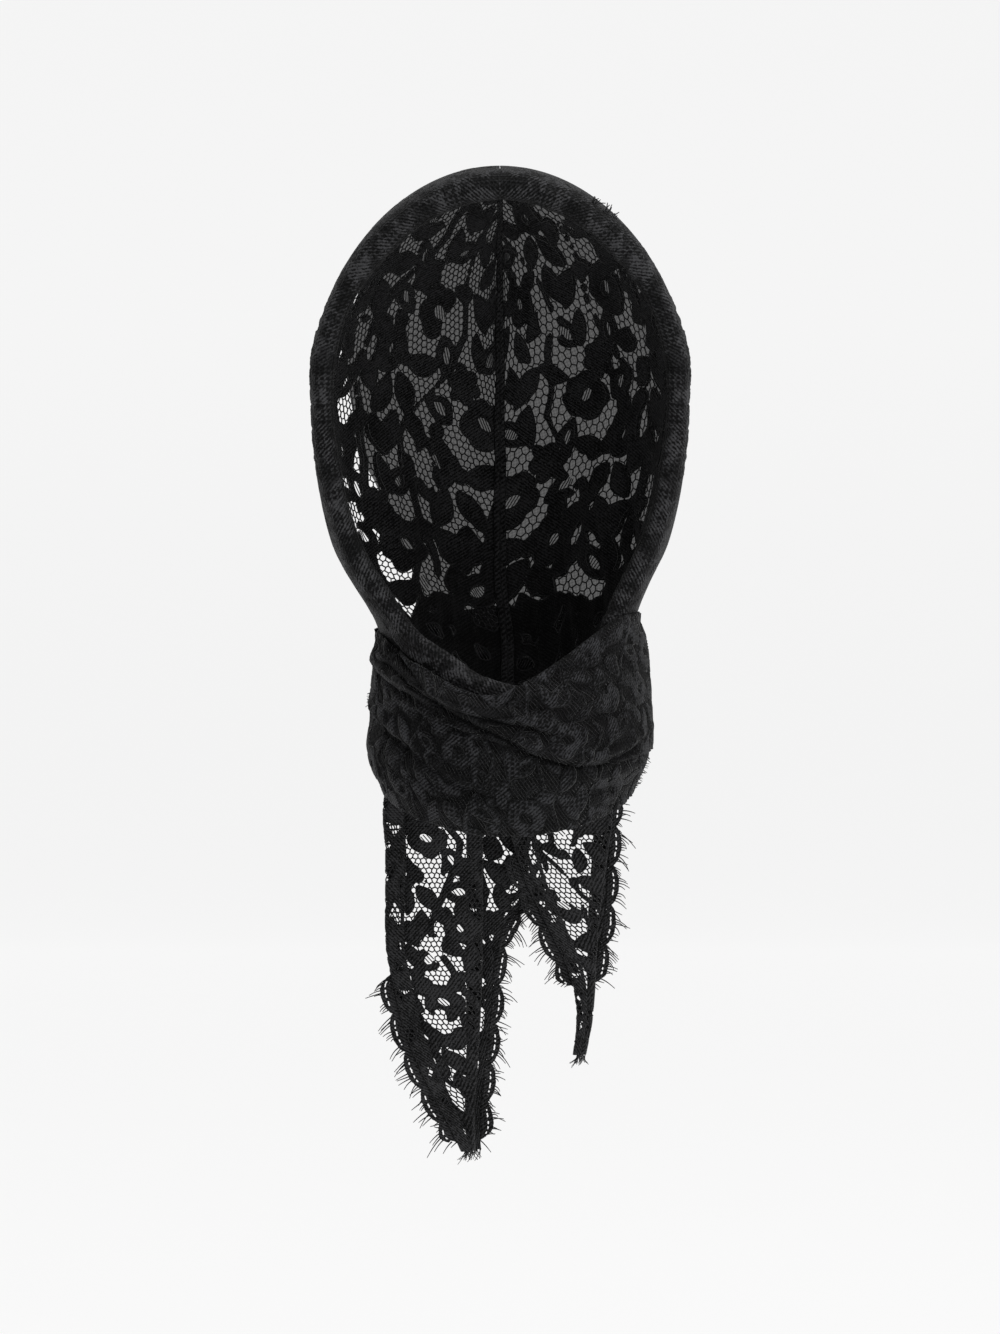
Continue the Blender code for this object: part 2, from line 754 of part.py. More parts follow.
MAIN_FIRST, MAIN_LAST = 5, 10  # section points that bound the main width


def end_points(end, cells, rows, offset):
    """Points of one skin of an end, for vertices in cells."""
    points = np.zeros((len(cells), 3))
    for index, (u, v) in enumerate(cells):
        height = end.top + (end.tip - end.top) * v / rows
        line = end.section(height)
        ahead = np.gradient(line, axis=0)
        across = unit(np.stack([-ahead[:, 1], ahead[:, 0]], -1))
        skin = line + across * offset
        low = min(int(u), len(line) - 2)
        x, layer = skin[low] + (skin[low + 1] - skin[low]) * (u - low)
        points[index] = (x, float(end.depth(x, height)) + layer, height)
    return points


def end_windows(first_row, last_row):
    """Net windows of a hanging end, half-dropped."""
    found = set()
    for step, i in enumerate(range(MAIN_FIRST, MAIN_LAST - 1, 2)):
        for j in range(first_row + step % 2, last_row, 2):
            found.add((i, j))
    return found


def make_end(name, end, windows, lace):
    cols = len(end.section(end.top)) - 1
    cells, faces = lace_cells(cols, END_ROWS, windows)
    outer = end_points(end, cells, END_ROWS, LACE / 2)
    inner = end_points(end, cells, END_ROWS, -LACE / 2)
    wall(name, outer, inner, faces, lace)


def edge_line(end, border):
    """The cloth's edge that a border runs along, top to bottom, and the way out from it."""
    rows = np.linspace(end.top, end.tip, END_ROWS + 1)
    flap, left, turn, back, edge = end.columns(rows)
    if border.side == "left":
        x, layer, sign = left, -TURN_RADIUS, -1
    else:
        x, layer, sign = edge, 4 * TURN_RADIUS, 1
    corners = np.stack([x, end.depth(x, rows) + layer, rows], -1)
    height = np.linspace(border.start, border.stop, 240)
    line = np.stack([np.interp(height, rows[::-1], corners[::-1, k]) for k in range(3)], -1)
    along = unit(np.gradient(line, axis=0))
    away = np.cross(along, (0.0, 1.0, 0.0))
    away *= sign * np.sign(away[:, :1])
    soft = np.pad(away, ((20, 20), (0, 0)), mode="edge")
    away = np.stack([np.convolve(soft[:, k], np.ones(41) / 41, "valid") for k in range(3)], -1)
    if border.side == "left":
        line = line + away * LACE / 2
    return line, unit(away)


def make_border(end, border, lace):
    """A scalloped strip along an edge, with tapered threads that grow out of it in groups."""
    line, away = edge_line(end, border)
    steps = np.linalg.norm(np.diff(line, axis=0), axis=1)
    along = np.concatenate([[0], np.cumsum(steps)])
    count = int(along[-1] / LASH_STEP)
    half = LASH_WIDE / 2
    points, faces = [], []

    def station(s):
        place = np.array([np.interp(s, along, line[:, k]) for k in range(3)])
        out = unit(np.array([np.interp(s, along, away[:, k]) for k in range(3)]))
        wave = abs(math.sin(math.pi * (s / SCALLOP_PITCH + border.phase)))
        width = BORDER_WIDTH + SCALLOP_DEPTH * wave**0.6
        thick = np.array([0, LACE / 2, 0])
        near, far = place + out * SEAM, place + out * (SEAM + width)
        start = len(points)
        points.extend([near - thick, near + thick, far + thick, far - thick])
        return start, out

    previous = None
    for k in range(count):
        middle = (k + 0.5) * LASH_STEP
        bare = k % border.skip in (3, 4)
        marks = (middle,) if bare else (middle - half, middle + half)
        for order, s in enumerate(marks):
            start, out = station(s)
            if previous is None:
                faces.append((start, start + 1, start + 2, start + 3))
            else:
                root = not bare and order == 1
                for a, b in ((0, 1), (1, 2), (2, 3), (3, 0)):
                    if not (root and (a, b) == (2, 3)):
                        faces.append((previous + a, start + a, start + b, previous + b))
                if root:
                    add_lash(points, faces, previous, start, out, k)
            previous = start
    faces.append((previous + 3, previous + 2, previous + 1, previous))
    make_object(border.name, points, faces, lace)


def add_lash(points, faces, first, second, out, number):
    """A thread of four sides from the strip's outer face, bent a little and drawn to a point."""
    swing = math.sin(number * 2.4)
    length = LASH_SHORT + (LASH_LONG - LASH_SHORT) * (0.5 + 0.5 * math.sin(number * 1.7 + 0.6))
    root = [first + 2, second + 2, second + 3, first + 3]
    centre = sum(points[k] for k in root) / 4
    lean = np.array([0, 0.25 * math.cos(number * 1.3), -0.35 + 0.3 * swing])
    middle = centre + (out + 0.5 * lean) * length * 0.5
    tip = centre + (out + lean) * length
    ring = len(points)
    points.extend([middle + (points[k] - centre) * 0.62 for k in root])
    points.append(tip)
    for a in range(4):
        b = (a + 1) % 4
        faces.append((root[a], root[b], ring + b, ring + a))
        faces.append((ring + a, ring + b, ring + 4))


def main():
    clear_scene()
    lace = material("lace", (0.017, 0.017, 0.019), 0.72)
    band = material("band", (0.024, 0.024, 0.027), 0.8)
    tulle = material("tulle", (0.03, 0.03, 0.033), 0.85)
    panel, neck = Panel(), Neck()
    make_hood(panel, lace)
    make_lining(panel, tulle)
    make_back_seam(band)
    make_bands(neck, band)
    make_neck(neck, lace)
    make_knot(lace)
    ends = {"left": HangingEnd(LEFT_END), "right": HangingEnd(RIGHT_END)}
    make_end("end_left", ends["left"], end_windows(4, 12), lace)
    make_end("end_right", ends["right"], end_windows(4, 8), lace)
    for border in BORDERS:
        make_border(ends[border.end], border, lace)


main()
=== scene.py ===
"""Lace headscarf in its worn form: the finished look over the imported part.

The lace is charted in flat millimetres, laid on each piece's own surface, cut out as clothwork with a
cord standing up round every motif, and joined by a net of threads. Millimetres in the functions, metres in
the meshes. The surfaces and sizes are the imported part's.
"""

import math
from collections import namedtuple

import bpy
import numpy as np
from bpy.props import FloatProperty, FloatVectorProperty, IntProperty, PointerProperty
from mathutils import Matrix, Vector


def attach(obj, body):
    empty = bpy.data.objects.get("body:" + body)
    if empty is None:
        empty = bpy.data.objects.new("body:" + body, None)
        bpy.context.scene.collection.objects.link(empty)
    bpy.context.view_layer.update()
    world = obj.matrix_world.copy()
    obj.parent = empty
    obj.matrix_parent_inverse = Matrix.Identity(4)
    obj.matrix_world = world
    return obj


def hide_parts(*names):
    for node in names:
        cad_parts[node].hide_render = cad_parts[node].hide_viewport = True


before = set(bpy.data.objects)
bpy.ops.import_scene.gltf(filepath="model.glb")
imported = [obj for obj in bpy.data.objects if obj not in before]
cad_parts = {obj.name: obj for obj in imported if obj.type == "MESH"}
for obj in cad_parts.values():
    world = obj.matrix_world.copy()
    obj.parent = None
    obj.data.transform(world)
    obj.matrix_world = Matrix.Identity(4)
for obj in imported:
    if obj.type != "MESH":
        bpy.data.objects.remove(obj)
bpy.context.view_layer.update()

bl_info = {
    "name": "Lace headscarf",
    "version": (1, 0, 0),
    "blender": (4, 5, 0),
    "location": "View3D > Sidebar > Lace headscarf",
    "description": "Builds a worn lace headscarf over its packed part",
    "category": "Add Mesh",
}

METRES = 0.001


def rows_of(kind, *rows):
    """A table's rows of numbers with the kind's named columns."""
    return [kind(*row) for row in rows]


# Cloth
LACE = 1.0  # wall of the lace and of the tulle
BAND = 1.2  # wall of the rolled band and of the wound neck
SEAM = 0.3  # gap between pieces at a seam
LAYER = 0.6  # gap between layers that lie on each other

# Hood: a dome over the widest level and horizontal slices below it
AXIS_Y = -10.0  # the slices' centre, front to back
WIDEST = -103.0
DOME = 102.4  # rise of the dome over the widest level
DOME_POWER = 1.75  # 2 would make the dome an ellipse from the front
CENTRE = (0.0, 10.0, -115.0)  # point inside the head that the panels are seen from
BEYOND = 260.0  # further from the centre than any point of the form
HALVINGS = 40  # steps of a search by halving
Level = namedtuple("Level", "height half_width front_depth back_depth")
LEVELS = rows_of(
    Level, (-340, 54, 58, 58), (-300, 56.5, 58.5, 59.5), (-262, 58.2, 60.5, 62.5),
    (-240, 59.4, 63.5, 66.5), (-220, 62.6, 74, 74), (-203, 70.5, 90, 84), (-185, 78, 104, 94),
    (-164, 84, 120, 104), (-132, 89.5, 135, 114), (-103, 91.2, 140, 118),
)
NECK_SHIFT = 4.0  # the neck sits this far to the right of the head
SHIFT_FROM, SHIFT_TO = -192.0, -240.0

# Rim of the face opening, seen from the side
Rim = namedtuple("Rim", "height reach")
RIM = rows_of(
    Rim, (0, -72), (-30, -69), (-62, -62), (-103, -53), (-150, -46), (-185, -44), (-205, -46),
    (-219, -49), (-232, -53),
)
OCCIPUT = 0.47  # share of the midline, forehead to nape, where the back panel edge turns down
NAPE_EDGE = -250.0  # height of the midline's lower end
NAPE_BACK = 52.0  # and how far it is behind the panels' centre
PANEL_COLS, PANEL_ROWS = 14, 16

# Soft vertical folds where the cloth gathers towards the neck, by angle from the centre back
Fold = namedtuple("Fold", "angle depth half_angle")
HOOD_FOLDS = rows_of(
    Fold, (15, 3.4, 8), (32, -3.4, 8), (50, 3.0, 8), (68, -3.6, 8), (86, 2.4, 8),
)
FOLD_TOP, FOLD_FULL, FOLD_END = -90.0, -180.0, -212.0

REPEAT = 4  # cells from one net window of a column to the next

# Rolled band of the face opening
BAND_LEG = 6.5
BAND_TURN = namedtuple("BandTurn", "top side")(5.6, 4.3)  # radius of the roll
BAND_INNER = 4.0
BAND_NARROWS = 1.2
BAND_TUCK = 2.4  # how far the left half runs in under the winding

# Wound neck, by angle from the front, positive to the right
Top = namedtuple("Top", "angle height")
NECK_TOP = rows_of(
    Top, (-180, -212), (-125, -221), (-90, -226), (-70, -228), (-52, -236), (-37, -243), (-24, -251),
    (-12, -256), (-3, -255.5), (6, -250.5), (22, -239), (34, -229), (46, -221), (62, -217), (90, -217),
    (125, -215), (180, -212),
)
BAND_TOP = rows_of(  # the left band's line where it runs down the V inside the winding
    Top, (-43, -233), (-36, -237), (-27, -243), (-18, -248.5), (-7, -253.5), (4, -256),
)
LAP = rows_of(  # lower edge of the upper front stretch
    Top, (-104, -240), (-80, -241), (-60, -248), (-38, -264), (-16, -274), (8, -283), (24, -289),
    (46, -288), (75, -284), (104, -281),
)
NECK_CLEAR = 3.2  # the winding starts this far outside the head's form
NECK_EVEN = -305.0  # below this height the winding's radius stays the same
LAP_UNDER = 12.0  # how far the lower stretch runs up under the upper one
NECK_BOTTOM = namedtuple("Bottom", "front side back")(-323.0, -304.0, -292.0)
NECK_JOIN = 104.0  # the front stretches end at this angle each side
Swell = namedtuple("Swell", "share out")
NECK_SWELL = rows_of(Swell, (0, -1.0), (0.25, 2.2), (0.55, 5.2), (0.8, 5.6), (1, -0.5))
Crease = namedtuple("Crease", "angle_a height_a angle_b height_b rise width")
UPPER_CREASES = rows_of(
    Crease, (-84, -231, -10, -266, 3.0, 3.4), (-80, -237, 30, -276, 3.2, 4.0),
    (-30, -252, 58, -262, 3.0, 4.4), (2, -258, 76, -240, 2.6, 4.0), (24, -276, 74, -268, 2.4, 4.5),
)
LOWER_CREASES = [
    Crease(-92, -268, -20, -290, -3.0, 5.0),
    Crease(-60, -292, 20, -309, -2.6, 5.0),
    Crease(12, -304, 84, -296, -2.8, 4.5),
]
BACK_CREASES = [
    Crease(112, -236, 170, -240, 2.6, 4.5),
    Crease(118, -266, 172, -252, 2.8, 5.0),
    Crease(186, -252, 244, -270, 2.8, 5.0),
    Crease(188, -238, 250, -240, 2.6, 4.5),
]

# Knot at the nape
KNOT = namedtuple("Knot", "x y z half_x half_y half_z")(3.0, 76.3, -234.0, 16.0, 9.0, 15.0)
KNOT_FLAT = -245.0  # the ends leave its flat underside

# Hanging ends: the cloth's zigzag section at each height, left to right
End = namedtuple("End", "height flap left turn back edge")
LEFT_END = rows_of(
    End, (-245.6, -6.6, -13.5, -0.5, -4.4, 1.0), (-262, -18, -28, -3.5, -8.5, 3),
    (-282, -35, -44.5, -6.5, -12.5, 8), (-303, -46.5, -57, -8.5, -16, 12),
    (-340, -47.5, -58, -8.5, -17, 14), (-358, -48, -58, -8.8, -17, 14),
    (-376, -48.5, -58, -8.8, -17, 1), (-390, -47.5, -57, -8.8, -17, -3),
    (-406, -44, -53.5, -9.2, -17, -4), (-424, -40, -49, -10, -17, -5.5),
    (-440, -34, -43, -11, -17, -7.5), (-458, -26, -34.5, -12.2, -17.5, -9.5),
    (-474, -19.5, -26, -13, -17.6, -10.5), (-488, -14.5, -19.5, -12.4, -16.2, -9.6),
)
RIGHT_END = rows_of(
    End, (-245.6, 13.5, 6.5, 19.5, 15.6, 21), (-262, 15.5, 6.5, 34, 28, 35),
    (-282, 17, 5.5, 49, 42.5, 49), (-303, 18, 5.5, 57, 48.5, 56), (-325, 18, 5.5, 56.5, 48, 55.5),
    (-350, 23, 12.5, 53, 46, 54), (-376, 34, 25, 50, 44.6, 52), (-396, 42, 34.5, 48.6, 44.4, 48),
    (-410, 44, 38, 47.8, 44, 47), (-424, 43.4, 38.6, 46.4, 43, 46.6), (-439, 41, 37, 43.4, 39.6, 43.6),
)
END_Y = 71.8  # the main layer of an end behind the head
TURN_RADIUS = 1.6  # of a fold in the hanging cloth
END_ROWS = 13
PLEAT_SWAY = 2.2  # how far the hanging cloth waves front to back

# Scalloped border with eyelash threads
SCALLOP_PITCH, SCALLOP_DEPTH = 20.0, 3.8
BORDER_WIDTH = 2.2
Border = namedtuple("Border", "name end side start stop phase")
BORDERS = [
    Border("border_left_outer", "left", "left", -398, -484, 0.0),
    Border("border_left_inner", "left", "right", -356, -484, 0.35),
    Border("border_right_outer", "right", "right", -308, -405, 0.2),
    Border("border_right_inner", "right", "left", -336, -405, 0.0),
]


def smooth(rows, key, column, at):
    """A table's column at any key, on a cubic through its rows."""
    rows = sorted(rows, key=lambda row: getattr(row, key))
    knots = np.array([getattr(row, key) for row in rows], float)
    values = np.array([getattr(row, column) for row in rows], float)
    slopes = np.gradient(values, knots)
    at = np.clip(np.asarray(at, float), knots[0], knots[-1])
    low = np.clip(np.searchsorted(knots, at) - 1, 0, len(knots) - 2)
    span = knots[low + 1] - knots[low]
    t = (at - knots[low]) / span
    start, end = values[low], values[low + 1]
    rise, fall = slopes[low] * span, slopes[low + 1] * span
    return (
        (2 * t**3 - 3 * t**2 + 1) * start
        + (t**3 - 2 * t**2 + t) * rise
        + (3 * t**2 - 2 * t**3) * end
        + (t**3 - t**2) * fall
    )


def ease(value, start, end):
    """0 before start and 1 past end, with a soft rise between."""
    t = np.clip((np.asarray(value, float) - start) / (end - start), 0, 1)
    return t * t * (3 - 2 * t)


def unit(vectors):
    return vectors / np.linalg.norm(vectors, axis=-1, keepdims=True)


def run_length(place, axis=0):
    """The length run along a path, or along the lines of a grid, at each of its points."""
    steps = np.linalg.norm(np.diff(place, axis=axis), axis=-1)
    return np.insert(np.cumsum(steps, axis=axis), 0, 0.0, axis=axis)


def read_path(at, marks, path):
    """A path that has a point at each mark, read at any marks."""
    return np.stack([np.interp(at, marks, column) for column in path.T], -1)


def even(points, share):
    """A path read at even shares of its length."""
    along = run_length(points)
    return read_path(share * along[-1], along, points)


def soften(path, window, **ends):
    """A path averaged over a window of points; ends says how it is carried on past them."""
    half = window // 2
    padded = np.pad(path, ((half, half), (0, 0)), **ends)
    weights = np.ones(window) / window
    return np.stack([np.convolve(column, weights, "valid") for column in padded.T], -1)


ENDS_KEPT = {"mode": "reflect", "reflect_type": "odd"}


def grid_normal(place):
    """The way a grid of points turns by itself, not yet of unit length."""
    return np.cross(np.gradient(place, axis=0), np.gradient(place, axis=1))


# ---------------------------------------------------------------- the head's form


def slice_sizes(z, y):
    """Half width and depth of the slice at height z, on the side of y."""
    low = np.minimum(z, WIDEST)
    width = smooth(LEVELS, "height", "half_width", low)
    front = smooth(LEVELS, "height", "front_depth", low)
    back = smooth(LEVELS, "height", "back_depth", low)
    return width, np.where(y < AXIS_Y, front, back)


def form(points):
    """Below 1 inside the head's form and above 1 outside it."""
    x, y, z = points[..., 0], points[..., 1], points[..., 2]
    width, depth = slice_sizes(z, y)
    rise = np.maximum(z - WIDEST, 0) / DOME
    return (x / width) ** 2 + ((y - AXIS_Y) / depth) ** 2 + rise**DOME_POWER


def form_normal(points):
    """The way out of the head's form."""
    step = 0.05
    slopes = [form(points + step * axis) - form(points - step * axis) for axis in np.eye(3)]
    return unit(np.stack(slopes, -1))


def cast(directions):
    """Where rays from the head's centre leave its form."""
    near = np.zeros(directions.shape[:-1])
    far = np.full(directions.shape[:-1], BEYOND)
    for _ in range(HALVINGS):
        middle = (near + far) / 2
        inside = form(CENTRE + middle[..., None] * directions) < 1
        near = np.where(inside, middle, near)
        far = np.where(inside, far, middle)
    return CENTRE + near[..., None] * directions


def fold_depth(points):
    """How far the gathers push the cloth out, by angle from the centre back."""
    x, y, z = points[..., 0], points[..., 1], points[..., 2]
    angle = np.degrees(np.arctan2(np.abs(x), y - AXIS_Y))
    depth = sum(f.depth * np.exp(-(((angle - f.angle) / f.half_angle) ** 2)) for f in HOOD_FOLDS)
    return depth * ease(z, FOLD_TOP, FOLD_FULL) * ease(z, FOLD_END, FOLD_FULL)


def lay(points, out, side=0):
    """Points moved out of the form by a distance, with its folds and the neck's shift.

    A side of -1 or 1 puts points of the right half in that half, half a seam from the middle.
    """
    laid = points + form_normal(points) * (np.asarray(out) + fold_depth(points))[..., None]
    if side:
        laid[..., 0] = side * (laid[..., 0] + SEAM / 2)
    laid[..., 0] += NECK_SHIFT * ease(laid[..., 2], SHIFT_FROM, SHIFT_TO)
    return laid


def rim_path():
    """The rim on the right side, from the forehead to the side of the neck."""
    low, high = WIDEST, 0.0
    for _ in range(HALVINGS):
        middle = (low + high) / 2
        reach = float(smooth(RIM, "height", "reach", middle))
        inside = form(np.array([0.0, reach, middle])) < 1
        low, high = (middle, high) if inside else (low, middle)
    z = low + (RIM[-1].height - low) * np.linspace(0, 1, 300) ** 2
    y = smooth(RIM, "height", "reach", z)
    width, depth = slice_sizes(z, y)
    rise = np.maximum(z - WIDEST, 0) / DOME
    left = 1 - ((y - AXIS_Y) / depth) ** 2 - rise**DOME_POWER
    x = width * np.sqrt(np.maximum(left, 0))
    x[0] = 0.0
    return np.stack([x, y, z], -1)


def midline_path():
    """The crown and back line, from the forehead to the nape."""
    start = rim_path()[0]
    first = math.atan2(start[1] - CENTRE[1], start[2] - CENTRE[2])
    last = math.pi - math.atan2(NAPE_BACK, CENTRE[2] - NAPE_EDGE)
    angle = np.linspace(first, last, 200)
    return cast(np.stack([0 * angle, np.sin(angle), np.cos(angle)], -1))


def nape_path():
    """The panel's lower edge, from the side of the neck to the centre back."""
    corner, back = rim_path()[-1], midline_path()[-1]
    t = np.linspace(0, 1, 100)
    start = math.atan2(corner[0], corner[1] - AXIS_Y)
    angle = start * (1 - t)
    z = corner[2] + (back[2] - corner[2]) * ease(t, 0, 0.8)
    width, depth = slice_sizes(z, AXIS_Y + np.cos(angle))
    radius = ((np.sin(angle) / width) ** 2 + (np.cos(angle) / depth) ** 2) ** -0.5
    return np.stack([radius * np.sin(angle), AXIS_Y + radius * np.cos(angle), z], -1)


class Panel:
    """Half of the hood. u runs from the rim to the centre back, v from the crown to the neck."""

    def __init__(self):
        midline = midline_path()
        share = np.linspace(0, 1, 121)
        self.share = share
        self.rim = self.seen(even(rim_path(), share))
        self.back = self.seen(even(midline, OCCIPUT + (1 - OCCIPUT) * share))
        self.crown = self.seen(even(midline, OCCIPUT * share))
        self.nape = self.seen(even(nape_path(), share))

    def seen(self, points):
        """The ways from the head's centre to the points."""
        return unit(points - np.array(CENTRE))

    def edge(self, curve, t):
        """An edge's way at a share of its length."""
        return read_path(t, self.share, curve)

    def on_form(self, u, v):
        """A point of the form, blended between the panel's four edges."""
        u, v = np.asarray(u, float), np.asarray(v, float)
        a, b = u[..., None], v[..., None]
        sides = (1 - a) * self.edge(self.rim, v) + a * self.edge(self.back, v)
        ends = (1 - b) * self.edge(self.crown, u) + b * self.edge(self.nape, u)
        corners = (
            (1 - a) * (1 - b) * self.rim[0]
            + (1 - a) * b * self.rim[-1]
            + a * (1 - b) * self.back[0]
            + a * b * self.back[-1]
        )
        return cast(unit(sides + ends - corners))

    def at(self, u, v, out, side):
        """A point of the left (side -1) or right (side 1) panel, moved out of the form."""
        return lay(self.on_form(u, v), out, side)


def panel_windows():
    """The net windows of the lace repeat, half-dropped from one column to the next."""
    found = set()
    for i in range(1, PANEL_COLS - 1, REPEAT - 1):
        drop = 2 * ((i // (REPEAT - 1)) % 2)
        for j in range(2 + drop, PANEL_ROWS - 3, REPEAT):
            found.add((i, j))
    return found


LINING_GAP = 1.0  # the tulle hangs a little free of the lace
SEAM_HALF = 4.0  # half the width of the back seam's tape


def band_radii(path):
    """Wide over the forehead, narrow down the sides and narrowest inside the winding."""
    z = path[:, 2]
    radii = BAND_TURN.top + (BAND_TURN.side - BAND_TURN.top) * ease(z, -20, -75)
    return radii - BAND_NARROWS * ease(z, -205, -240)


class Neck:
    """The cloth wound round the neck, by angle from the front and by height."""

    def outward(self, angle):
        turn = np.radians(angle)
        return np.stack([np.sin(turn), -np.cos(turn), 0 * turn], -1)

    def radius(self, angle, height):
        turn = np.radians(angle)
        width, depth = slice_sizes(height, np.where(np.cos(turn) > 0, AXIS_Y - 1, AXIS_Y + 1))
        return ((np.sin(turn) / width) ** 2 + (np.cos(turn) / depth) ** 2) ** -0.5

    def top(self, angle):
        wrapped = (np.asarray(angle, float) + 180) % 360 - 180
        return smooth(NECK_TOP, "angle", "height", wrapped)

    def bottom(self, angle):
        turn = np.cos(np.radians(angle))
        low = np.where(turn > 0, NECK_BOTTOM.front, NECK_BOTTOM.back)
        return NECK_BOTTOM.side + (low - NECK_BOTTOM.side) * np.abs(turn) ** 1.6

    def swell(self, angle, height):
        """How far the winding stands out between its upper and lower edge."""
        top, bottom = self.top(angle), self.bottom(angle)
        share = np.clip((top - height) / (top - bottom), 0, 1)
        return smooth(NECK_SWELL, "share", "out", share)

    def lap(self, angle):
        return smooth(LAP, "angle", "height", angle)

    def at(self, angle, height, out):
        radius = self.radius(angle, np.maximum(height, NECK_EVEN)) + out
        point = np.array([0, AXIS_Y, 0]) + radius[..., None] * self.outward(angle)
        point[..., 2] = height
        point[..., 0] += NECK_SHIFT * ease(height, SHIFT_FROM, SHIFT_TO)
        return point

    def upper_out(self, angle, height):
        """Inner side of the upper stretch: clear of the lower one, and of the panels above it."""
        return NECK_CLEAR + self.swell(angle, height) + BAND + LAYER


DEGREE = 1.15  # millimetres on the winding to a degree round it


def creases(rows, angle, height):
    """Soft folds between two points each, highest at their middle."""
    rise = 0 * angle
    for row in rows:
        start = np.array([row.angle_a, row.height_a], float)
        run = np.array([row.angle_b, row.height_b], float) - start
        share = ((angle - start[0]) * run[0] + (height - start[1]) * run[1]) / (run @ run)
        share = np.clip(share, 0, 1)
        off_angle = (angle - start[0] - share * run[0]) * DEGREE
        off_height = height - start[1] - share * run[1]
        away = np.hypot(off_angle, off_height)
        ends = np.sin(math.pi * np.clip(share, 0.08, 0.92))
        rise = rise + row.rise * ends * np.exp(-((away / row.width) ** 2))
    return rise


class HangingEnd:
    """One end of the scarf: a turned flap, the main width, a pleat and the bordered edge."""

    def __init__(self, rows):
        self.rows = rows
        self.top, self.tip = rows[0].height, rows[-1].height

    def columns(self, height):
        return [smooth(self.rows, "height", name, height) for name in End._fields[1:]]

    def depth(self, x, height):
        """The wave of the hanging cloth, and the lean of its lower part towards the neck."""
        wave = PLEAT_SWAY * np.sin(x / 15.0 + height / 46.0) * ease(height, -262, -320)
        return END_Y + wave - 7.0 * ease(height, -300, -470)

    def section(self, height):
        """The zigzag's middle line at one height: (x, layer) from the flap to the edge."""
        flap, left, turn, back, edge = self.columns(height)
        r = TURN_RADIUS
        arc = np.radians(np.array([60.0, 0.0, -60.0]))
        line = [(flap, -2 * r), (left + r + 0.4 * (flap - left - r), -2 * r)]
        line += [(left + r - r * math.cos(a), -r - r * math.sin(a)) for a in arc]
        for share in (0.0, 0.2, 0.4, 0.6, 0.8, 1.0):
            line.append((left + r + (turn - left - 2 * r) * share, 0.0))
        line += [(turn - r + r * math.cos(a), r - r * math.sin(a)) for a in arc]
        line += [(back + r - r * math.cos(a), 3 * r - r * math.sin(a)) for a in arc]
        line += [(back + r + 0.6 * (edge - back - r), 4 * r), (edge, 4 * r)]
        return np.array(line, float)


MAIN_FIRST, MAIN_LAST = 5, 10  # section points that bound the main width
EndCut = namedtuple("EndCut", "start fuller fuller_low first_row last_row wide tall")
END_CUTS = {  # where each end starts in the chart, how full it is, and its net windows
    "left": EndCut((8, 0), 0.2, 1.3, 4, 12, 4.6, 6.6),
    "right": EndCut((20, 30), -0.6, 0.0, 4, 8, 5.6, 8.0),
}


def end_windows(first_row, last_row):
    """Net windows of a hanging end, half-dropped."""
    found = set()
    for step, i in enumerate(range(MAIN_FIRST, MAIN_LAST - 1, 2)):
        for j in range(first_row + step % 2, last_row, 2):
            found.add((i, j))
    return found


def edge_line(end, border):
    """The cloth's edge that a border runs along, top to bottom, and the way out from it."""
    rows = np.linspace(end.top, end.tip, END_ROWS + 1)
    _, left, _, _, edge = end.columns(rows)
    if border.side == "left":
        x, layer, sign = left, -TURN_RADIUS, -1
    else:
        x, layer, sign = edge, 4 * TURN_RADIUS, 1
    corners = np.stack([x, end.depth(x, rows) + layer, rows], -1)
    line = read_path(np.linspace(border.start, border.stop, 240), rows[::-1], corners[::-1])
    away = np.cross(unit(np.gradient(line, axis=0)), (0.0, 1.0, 0.0))
    away *= sign * np.sign(away[:, :1])
    away = soften(away, 41, mode="edge")
    if border.side == "left":
        line = line + away * LACE / 2
    return line, unit(away)


# ---------------------------------------------------------------- lace chart

# Flat pattern in millimetres: columns of motifs, each dropped against the one before it
Motif = namedtuple("Motif", "kind x y turn long wide")
COLUMN, DROP, CHART_TALL = 40.0, 34.0, 104.0
CHART = rows_of(
    Motif, ("stem", 22.5, 6, 70, 14, 1.6), ("stem", 27.5, 19, 66, 14, 1.6),
    ("stem", 28.5, 32, 100, 14, 1.6), ("stem", 24.0, 45, 116, 15, 1.6),
    ("stem", 17.5, 58, 114, 15, 1.6), ("stem", 13.0, 71, 104, 14, 1.6), ("stem", 12.8, 84, 78, 14, 1.6),
    ("stem", 17.0, 97, 66, 14, 1.6), ("rose", 10.0, 22, 20, 22, 6.5), ("rose", 31.5, 79, 60, 20, 5.4),
    ("aster", 35.0, 44, 0, 17, 0), ("leaf", 36.0, 12, 40, 21, 10), ("leaf", 21.5, 8, 150, 14, 7.5),
    ("leaf", 39.0, 28, 75, 17, 8), ("eye", 22.0, 37, 60, 17, 9), ("leaf", 12.0, 43, 160, 19, 9),
    ("eye", 27.0, 58, 20, 19, 9.5), ("leaf", 7.0, 60, 55, 17, 9), ("leaf", 19.0, 72, 30, 16, 8),
    ("leaf", 3.0, 78, 100, 19, 10), ("leaf", 23.0, 92, 35, 17, 8.5), ("eye", 7.0, 97, 130, 19, 9.5),
    ("leaf", 34.0, 98, 110, 18, 8.5), ("bud", 30.0, 66, 0, 7, 0), ("bud", 2.0, 46, 0, 6, 0),
    ("bud", 19.0, 20, 0, 6, 0), ("bud", 14.0, 87, 0, 6, 0),
)


